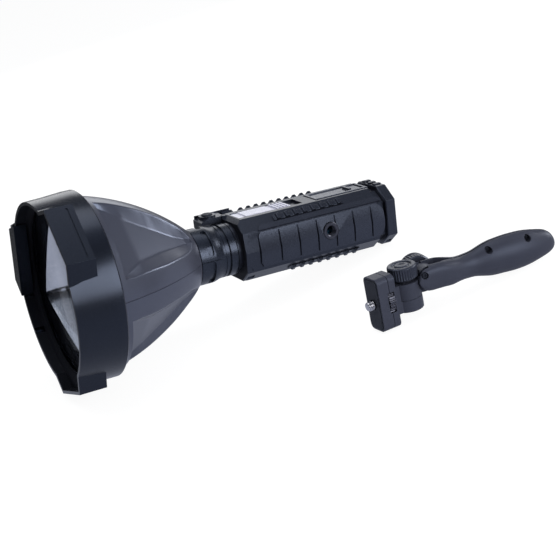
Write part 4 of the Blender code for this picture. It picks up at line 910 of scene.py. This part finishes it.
def ribbed(outline, axis, centre):
    """A turned knob whose marked stations carry small round ribs."""
    rows = []
    for along, radius, share in outline:
        row = []
        for step in range(KNOB_SIDES if radius else 1):
            turn = 2 * pi * step / KNOB_SIDES
            reach = radius - KNOB_RIB_DEPTH * share * (0.5 - 0.5 * cos(turn * KNOB_RIBS)) ** 0.7
            row.append(axis_point(axis, along, centre[0] + reach * sin(turn),
                                  centre[1] + reach * cos(turn)))
        rows.append(row)
    return lofted(rows)


def knob(name, body, radius, height, low, axis, centre):
    """A ribbed knob with a ring groove and a dimple on its face, bored for its bolt."""
    high = low + height
    middle = (low + high) / 2 + GAP
    outline = [(middle, 0, 0), (middle, 2.6, 0), (low, 2.6, 0), (low, radius - 1, 0),
               (low + 0.5, radius - 0.5, 0), (low + 0.9, radius - 0.1, 0.4), (low + 1.3, radius, 1),
               (high - 1.6, radius, 1), (high - 1.1, radius - 0.05, 0.5),
               (high - 0.8, radius - 0.15, 0), (high - 0.3, radius - 0.5, 0),
               (high, radius - 1.1, 0)]
    outline += [(high - depth, reach, 0) for depth, reach in
                ((0, 6.6), (0.25, 6.3), (0.8, 6.1), (0.8, 4.9), (0.25, 4.7), (0, 4.4), (0, 2.4),
                 (0.3, 1.9), (0.4, 0))]
    piece(name, ribbed(outline, axis, centre), KNOB, [body], body, smooth=40)


def mount():
    """The clamp block's two halves with their rubber face."""
    softened("mount_half", "mount_front", GRIP, 0.45, 3, body="grip_mount")
    softened("mount_pad", "mount_face", FACE, 0.25, 3, body="grip_mount")
    softened("bracket", "swivel_bracket", GRIP, 0.4, 3, body="grip_mount")


def mount_screw():
    """The camera screw and the notched wheel that drives it."""
    centre = (0, MOUNT_LEVEL)
    outline = []
    for number in range(WHEEL_NOTCHES):
        for share, depth in WHEEL_NOTCH:
            turn = 2 * pi * (number + share) / WHEEL_NOTCHES
            reach = WHEEL_RADIUS - depth
            outline.append((reach * sin(turn), MOUNT_LEVEL + reach * cos(turn)))
    wheel = extruded(outline, WHEEL_FRONT, WHEEL_BACK)
    cut(wheel, rod(WHEEL_FRONT - 1, WHEEL_BACK + 1, 2.5, 48, "X", centre))
    piece("wheel", wheel, DARK_STEEL, ["thumb_wheel"], "mount_screw", bevel=0.12)
    rows = ring_rows([(SCREW_END, 0), (SCREW_END, 1.9)], THREAD_SIDES, "X", centre)
    rows += thread(SCREW_END + 0.2, -0.5, THREAD_MINOR, THREAD_MAJOR, "X", centre, 12)
    rows += ring_rows([(-GAP, THREAD_MINOR), (-GAP, SHANK), (WHEEL_BACK, SHANK), (WHEEL_BACK, 0)],
                      THREAD_SIDES, "X", centre)
    piece("camera_screw", lofted(rows), STEEL, ["mount_screw"], "mount_screw",
          smooth=40)


def swivel():
    """Knuckle and the two hand knobs."""
    softened("knuckle_soft", "knuckle", GRIP, 0.3, 3, body="knuckle")
    knob("upper_knob", "swivel_knob", 9.7, 9, KNUCKLE_HIGH + 0.9 + 2 * GAP, "Z", (0, 0))
    knob("tilt_knob_soft", "tilt_knob", 10.8, 9.5, CHEEK_REACH + GAP, "Y", (TILT, LEVEL))


# Along the handle: place, rise, height, width (as shares of its length and belly), squareness

PROFILE = (
    (0, 0, 0.695, 0.825, 1), (0.1, -0.02, 0.7, 0.82, 0.9), (0.16, -0.08, 0.68, 0.79, 0.7),
    (0.24, -0.13, 0.6, 0.68, 0.4), (0.3, -0.13, 0.63, 0.62, 0.2), (0.363, -0.12, 0.7, 0.63, 0),
    (0.48, -0.11, 0.92, 0.76, 0), (0.578, -0.1, 0.98, 0.82, 0), (0.664, -0.11, 1, 0.84, 0),
    (0.761, -0.11, 0.96, 0.8, 0), (0.846, -0.11, 0.84, 0.71, 0), (0.932, -0.12, 0.67, 0.56, 0),
    (0.97, -0.15, 0.51, 0.44, 0), (0.99, -0.19, 0.33, 0.3, 0), (1, -0.22, 0.14, 0.12, 0))
PROFILE_STEP = 0.012
NOSE_TURNS = (5, 12, 21, 32, 45, 58, 72)
NOSE_WIDTH = 0.8
SEAM_HALF = 0.65
SEAM_DEPTH = 0.7
HEAD_HOLE = 2.3
SHANK_HOLE = 1.4
SHELL_SEAT = -2.6
CHEEK_SEAT = -CHEEK_REACH + 2.2
SCREW_PLACES = ((TILT + HANDLE_LENGTH * 0.465, LEVEL + BELLY * (-0.11 + 0.92 * 0.68)),
                (TILT + HANDLE_LENGTH * 0.766, LEVEL + BELLY * (-0.11 + 0.96 * 0.68)))
CHEEK_SCREW = (TILT - CHEEK_SCREW_REACH * cos(CHEEK_SCREW_TURN),
               LEVEL + CHEEK_SCREW_REACH * sin(CHEEK_SCREW_TURN))


def smooth_row(number, share):
    """A row of the profile between two of its stations, on a smooth curve through all of them."""
    before = PROFILE[max(number - 1, 0)]
    one = PROFILE[number]
    two = PROFILE[number + 1]
    after = PROFILE[min(number + 2, len(PROFILE) - 1)]
    span = two[0] - one[0]
    row = [one[0] + span * share]
    for column in range(1, 5):
        rise_one = (two[column] - before[column]) / (two[0] - before[0]) * span
        rise_two = (after[column] - one[column]) / (after[0] - one[0]) * span
        a = 2 * one[column] - 2 * two[column] + rise_one + rise_two
        b = -3 * one[column] + 3 * two[column] - 2 * rise_one - rise_two
        row.append(((a * share + b) * share + rise_one) * share + one[column])
    return row


def nose_row(turn):
    """A section in front of the tilt axis, as tall as the cheek's disc allows."""
    return (-CHEEK_RADIUS * cos(turn) / HANDLE_LENGTH, 0, CHEEK_RADIUS * sin(turn) / BELLY,
            NOSE_WIDTH + 0.025 * sin(turn), 1)


def signed_power(value, power):
    return abs(value) ** power * (1 if value > 0 else -1)


def handle_solid(sides=64, inset=0, nose=True):
    """The handle's outside as one smooth loft, or the same with its surface moved inwards."""
    rows = [nose_row(radians(turn)) for turn in NOSE_TURNS] if nose else []
    for number in range(len(PROFILE) - 1):
        length = PROFILE[number + 1][0] - PROFILE[number][0]
        steps = max(int(length / PROFILE_STEP), 2)
        rows += [smooth_row(number, step / steps) for step in range(steps)]
    rows.append(PROFILE[-1])
    sections = []
    for along, rise, tall, wide, squareness in rows:
        place = TILT + HANDLE_LENGTH * along
        power = 1 / (1 + max(squareness, 0))
        half = max(BELLY * wide - inset, inset)
        height = max(BELLY * tall - inset, inset)
        turns = [2 * pi * (step + 0.5) / sides for step in range(sides)]
        middle = LEVEL + BELLY * rise
        sections.append([(place, half * signed_power(cos(turn), power),
                          middle + height * signed_power(sin(turn), power)) for turn in turns])
    return lofted(sections, ends=True)


def cheek_room():
    """The room the handle keeps to: a disc hollowed round the knuckle, then all behind it."""
    profile = []
    for step in range(11):
        across = FORK_HALF - 0.6 + (CHEEK_WALL + 1.6) * step / 10
        clear = TILT - sqrt(max(BARREL ** 2 - across ** 2, 0)) - 0.8
        profile.append((across, min(clear, CHEEK_RADIUS + 0.4)))
    outline = [(-CHEEK_REACH - 1, 0)]
    outline += [(-across, radius) for across, radius in reversed(profile)]
    outline += profile + [(CHEEK_REACH + 1, 0)]
    room = turned(outline, 96, "Y", (TILT, LEVEL))
    return fuse(room, block((TILT, -BEYOND, LEVEL - BEYOND),
                            (HANDLE_END + 10, BEYOND, LEVEL + BEYOND)))


def cut_fork(shell):
    """The room for the knuckle's tongue, ending in a wedge."""
    bottom = TILT + 7.6 + 1.2
    tall = 2 * CHEEK_RADIUS
    cut(shell, block((-TILT, -FORK_HALF, LEVEL - tall), (bottom, FORK_HALF, LEVEL + tall)))
    half = FORK_HALF - 0.01
    wedge = [(bottom - 2, -half), (bottom, -half), (bottom + 12, 0), (bottom, half),
             (bottom - 2, half)]
    cut(shell, extruded(wedge, LEVEL - tall + 1, LEVEL + tall - 1, "Z"))


def cut_holes(shell, side):
    """Deep screw holes in the near shell, blind ones in the far shell, and the tilt bolt's."""
    if side < 0:
        seats = [(place, SHELL_SEAT) for place in SCREW_PLACES] + [(CHEEK_SCREW, CHEEK_SEAT)]
        for place, seat in seats:
            cut(shell, rod(-BEYOND, seat, HEAD_HOLE, 48, "Y", place))
            cut(shell, rod(seat - 1, seat + 2, SHANK_HOLE, 32, "Y", place))
    else:
        for place in SCREW_PLACES:
            cut(shell, rod(-1, 4.6, SHANK_HOLE, 32, "Y", place))
    cut(shell, rod(-CHEEK_REACH + CHEEK_WALL / 2 - GAP, BEYOND, 2.8, 48, "Y", (TILT, LEVEL)))


def handle_shell(name, node_name, side):
    """Half of the handle, with its cheek, its half of the seam groove and its holes."""
    shell = combine(handle_solid(), "INTERSECT", cheek_room())
    cut_fork(shell)
    combine(shell, "INTERSECT", side_block(side, (-20, HANDLE_END + 20), (GAP / 2, BEYOND),
                                           (LEVEL - BEYOND, LEVEL + BEYOND)))
    seam = block((TILT + 12, -SEAM_HALF, LEVEL - BEYOND),
                 (HANDLE_END + 5, SEAM_HALF, LEVEL + BEYOND))
    cut(shell, cut(seam, handle_solid(48, SEAM_DEPTH, False)))
    cut_holes(shell, side)
    piece(name, shell, GRIP, [node_name], "handle", bevel=0.35, segments=3,
          smooth=40, bevel_angle=42)


def handle_screws():
    """The dark screws at the bottom of the holes in the near shell."""
    ends = [(SCREW_PLACES[0], -2.6, 2.6), (SCREW_PLACES[1], -2.6, 2.6), (CHEEK_SCREW, -8.15, -7.05)]
    for number, (place, seat, end) in enumerate(ends, 1):
        head = seat - GAP
        outline = [(head - 1.1, 0), (head - 1.1, 1.6), (head - 0.8, 1.9),
                   (head, 1.9), (head, 1.1), (end, 1.1), (end, 0)]
        screw = turned(outline, 40, "Y", place)
        cut_cross(screw, "Y", head - 1.5, head - 0.5, place, 1.1, 0.3)
        piece("shell_screw_%d" % number, screw, BLACK_STEEL, ["handle_screw_%d" % number],
              "handle")


# Pieces of the frame that stay as they are

HIDDEN = ((METAL, ("heat_sink",)), (BOARD, ("led_board", "switch_board")),
          (EMITTER, ("led_emitter",)), (WRAP, ("battery_cell_1", "battery_cell_2")),
          (BLACK_AND_PAINTED_SHADE, ("battery_cradle",)), (FACE, ("swivel_washer",)),
          (STEEL, ("swivel_bolt", "tilt_bolt")))


def dress():
    """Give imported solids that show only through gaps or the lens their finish."""
    for material, names in HIDDEN:
        for name in names:
            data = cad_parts[name].data
            data.materials.clear()
            data.materials.append(material)


# Light, floor and camera

WHITE = (1, 1, 1, 1)
MIDDLE = Vector((0, 0, 0.06))
WORLD_COLOUR = (0.92, 0.95, 1, 1)
WORLD_STRENGTH = 0.34
WORLD_WHITE = 1.04
WALL_STOPS = ((0.0, 0.05), (0.1, 0.1), (0.35, 0.13), (0.72, 0.17), (0.9, 0.45))
WALL_TINT = (0.92, 1, 1.16)
FLOOR_SIZE = 4
FLOOR_COLOUR = (0.86, 0.86, 0.87, 1)
FLOOR_WHITE = 1.14
FLOOR_SEEN = 0.8
FLOOR_MIRRORED = 0.85
FLOOR_TINT = (0.82, 0.87, 1.05, 1)
FLOOR_FALL = {"From_Min": 0.15, "From_Max": 0.45, "To_Min": 0.66, "To_Max": 0.04}
# Name, (azimuth, elevation), distance, width, height, power
LAMPS = (("overhead", (80, 78), 1.2, 1.3, 0.7, 6.0), ("back", (62, 17), 1.3, 1.1, 0.5, 3.2),
         ("front", (-73, 14), 1.3, 0.7, 0.75, 11.5), ("right", (-9, 13), 1.3, 0.55, 0.45, 7.5))
FOCAL_LENGTH = 78.49
SENSOR_WIDTH = 36
CAMERA_PLACE = (-0.287688, -0.723141, 0.3388603)
CAMERA_TURN = ((0.8372266, 0.4225918, -0.3470959), (-0.46359, 0.21179, -0.86036),
               (-0.2900633, 0.8812281, 0.3732267))


def white_where_seen(tree, seen, lit, strength, mirrored):
    """Mix a shader towards another for the camera and glass, and by another share in gloss."""
    link = tree.links.new
    path = node(tree, "ShaderNodeLightPath")
    straight = node(tree, "ShaderNodeMath", {"operation": "MAXIMUM"})
    link(path.outputs["Is Camera Ray"], straight.inputs[0])
    link(path.outputs["Is Transmission Ray"], straight.inputs[1])
    most = node(tree, "ShaderNodeMath", {"operation": "MAXIMUM"})
    sources = ((straight.outputs[0], strength), (path.outputs["Is Glossy Ray"], mirrored))
    for number, (source, share) in enumerate(sources):
        scaled = node(tree, "ShaderNodeMath", {"operation": "MULTIPLY"})
        scaled.inputs[1].default_value = share
        link(source, scaled.inputs[0])
        link(scaled.outputs[0], most.inputs[number])
    mix = node(tree, "ShaderNodeMixShader")
    link(most.outputs[0], mix.inputs["Fac"])
    link(lit.outputs[0], mix.inputs[1])
    link(seen.outputs[0], mix.inputs[2])
    return mix


def glossy_switch(tree, kind, seen, mirrored=None):
    """A value or colour that differs for reflections; the mirrored one may be linked later."""
    first = {"FLOAT": 2, "RGBA": 6}[kind]
    path = node(tree, "ShaderNodeLightPath")
    mix = node(tree, "ShaderNodeMix", {"data_type": kind})
    tree.links.new(path.outputs["Is Glossy Ray"], mix.inputs[0])
    mix.inputs[first].default_value = seen
    if mirrored:
        mix.inputs[first + 1].default_value = mirrored
    return mix


def surroundings():
    """World light: dim and cool on the object, white behind it, darker walls in reflections."""
    world = bpy.data.worlds.new("studio")
    bpy.context.scene.world = world
    world.use_nodes = True
    tree = world.node_tree
    link = tree.links.new
    dim = tree.nodes["Background"]
    fill(dim, Color=WORLD_COLOUR, Strength=WORLD_STRENGTH)
    white = node(tree, "ShaderNodeBackground", Strength=WORLD_WHITE)
    place = node(tree, "ShaderNodeTexCoord")
    parts = node(tree, "ShaderNodeSeparateXYZ")
    link(place.outputs["Generated"], parts.inputs[0])
    ramp = node(tree, "ShaderNodeValToRGB")
    stops = ramp.color_ramp.elements
    for position, level in WALL_STOPS:
        stop = stops.new(position) if position else stops[0]
        stop.color = (*(level * share for share in WALL_TINT), 1)
    stops[-1].color = WHITE
    link(parts.outputs["Z"], ramp.inputs["Fac"])
    seen = glossy_switch(tree, "RGBA", WHITE)
    link(ramp.outputs["Color"], seen.inputs[7])
    link(seen.outputs[2], white.inputs["Color"])
    mix = white_where_seen(tree, white, dim, 1.0, 1.0)
    link(mix.outputs[0], tree.nodes["World Output"].inputs["Surface"])


def ground():
    """The pale floor: white to the camera with the object's shadow, dimmer far off in gloss."""
    mesh = bmesh.new()
    bmesh.ops.create_grid(mesh, x_segments=2, y_segments=2, size=FLOOR_SIZE)
    floor = solid(mesh)
    floor.name = "floor"
    material, tree, shader = shaded("floor_white")
    link = tree.links.new
    fill(shader, Base_Color=FLOOR_COLOUR, Roughness=0.9, Specular_IOR_Level=0.1)
    glow = node(tree, "ShaderNodeEmission")
    place = node(tree, "ShaderNodeTexCoord")
    spread = node(tree, "ShaderNodeVectorMath", {"operation": "LENGTH"})
    link(place.outputs["Object"], spread.inputs[0])
    fall = node(tree, "ShaderNodeMapRange", **FLOOR_FALL)
    link(spread.outputs["Value"], fall.inputs["Value"])
    level = glossy_switch(tree, "FLOAT", FLOOR_WHITE)
    link(fall.outputs["Result"], level.inputs[3])
    link(level.outputs[0], glow.inputs["Strength"])
    shade = glossy_switch(tree, "RGBA", WHITE, FLOOR_TINT)
    link(shade.outputs[2], glow.inputs["Color"])
    mix = white_where_seen(tree, glow, shader, FLOOR_SEEN, FLOOR_MIRRORED)
    link(mix.outputs[0], tree.nodes["Material Output"].inputs["Surface"])
    floor.data.materials.append(material)


def lamps():
    """Four soft lamps: overhead, and low ones behind, in front and at the right."""
    for name, way, distance, wide, tall, power in LAMPS:
        lamp = bpy.data.lights.new(name, "AREA")
        lamp.shape = "RECTANGLE"
        lamp.size = wide
        lamp.size_y = tall
        lamp.energy = power
        holder = placed(name, lamp)
        azimuth, height = (radians(angle) for angle in way)
        holder.location = MIDDLE + distance * Vector((cos(height) * cos(azimuth),
                                                      cos(height) * sin(azimuth), sin(height)))
        look = MIDDLE - holder.location
        holder.rotation_euler = look.to_track_quat("-Z", "Y").to_euler()


def camera():
    """The photograph's view."""
    lens = bpy.data.cameras.new("camera")
    lens.lens = FOCAL_LENGTH
    lens.sensor_width = SENSOR_WIDTH
    holder = placed("camera", lens)
    holder.matrix_world = Matrix.Translation(CAMERA_PLACE) @ Matrix(CAMERA_TURN).to_4x4()
    bpy.context.scene.camera = holder


bezel()
lens_stack()
reflector()
bell()
neck()
body_pieces()
socket()
switches()
cap_screws()
mount()
mount_screw()
swivel()
handle_shell("handle_near", "handle_shell_near", -1)
handle_shell("handle_far", "handle_shell_far", 1)
handle_screws()
dress()
surroundings()
ground()
lamps()
camera()
bpy.context.scene.view_settings.view_transform = "Standard"
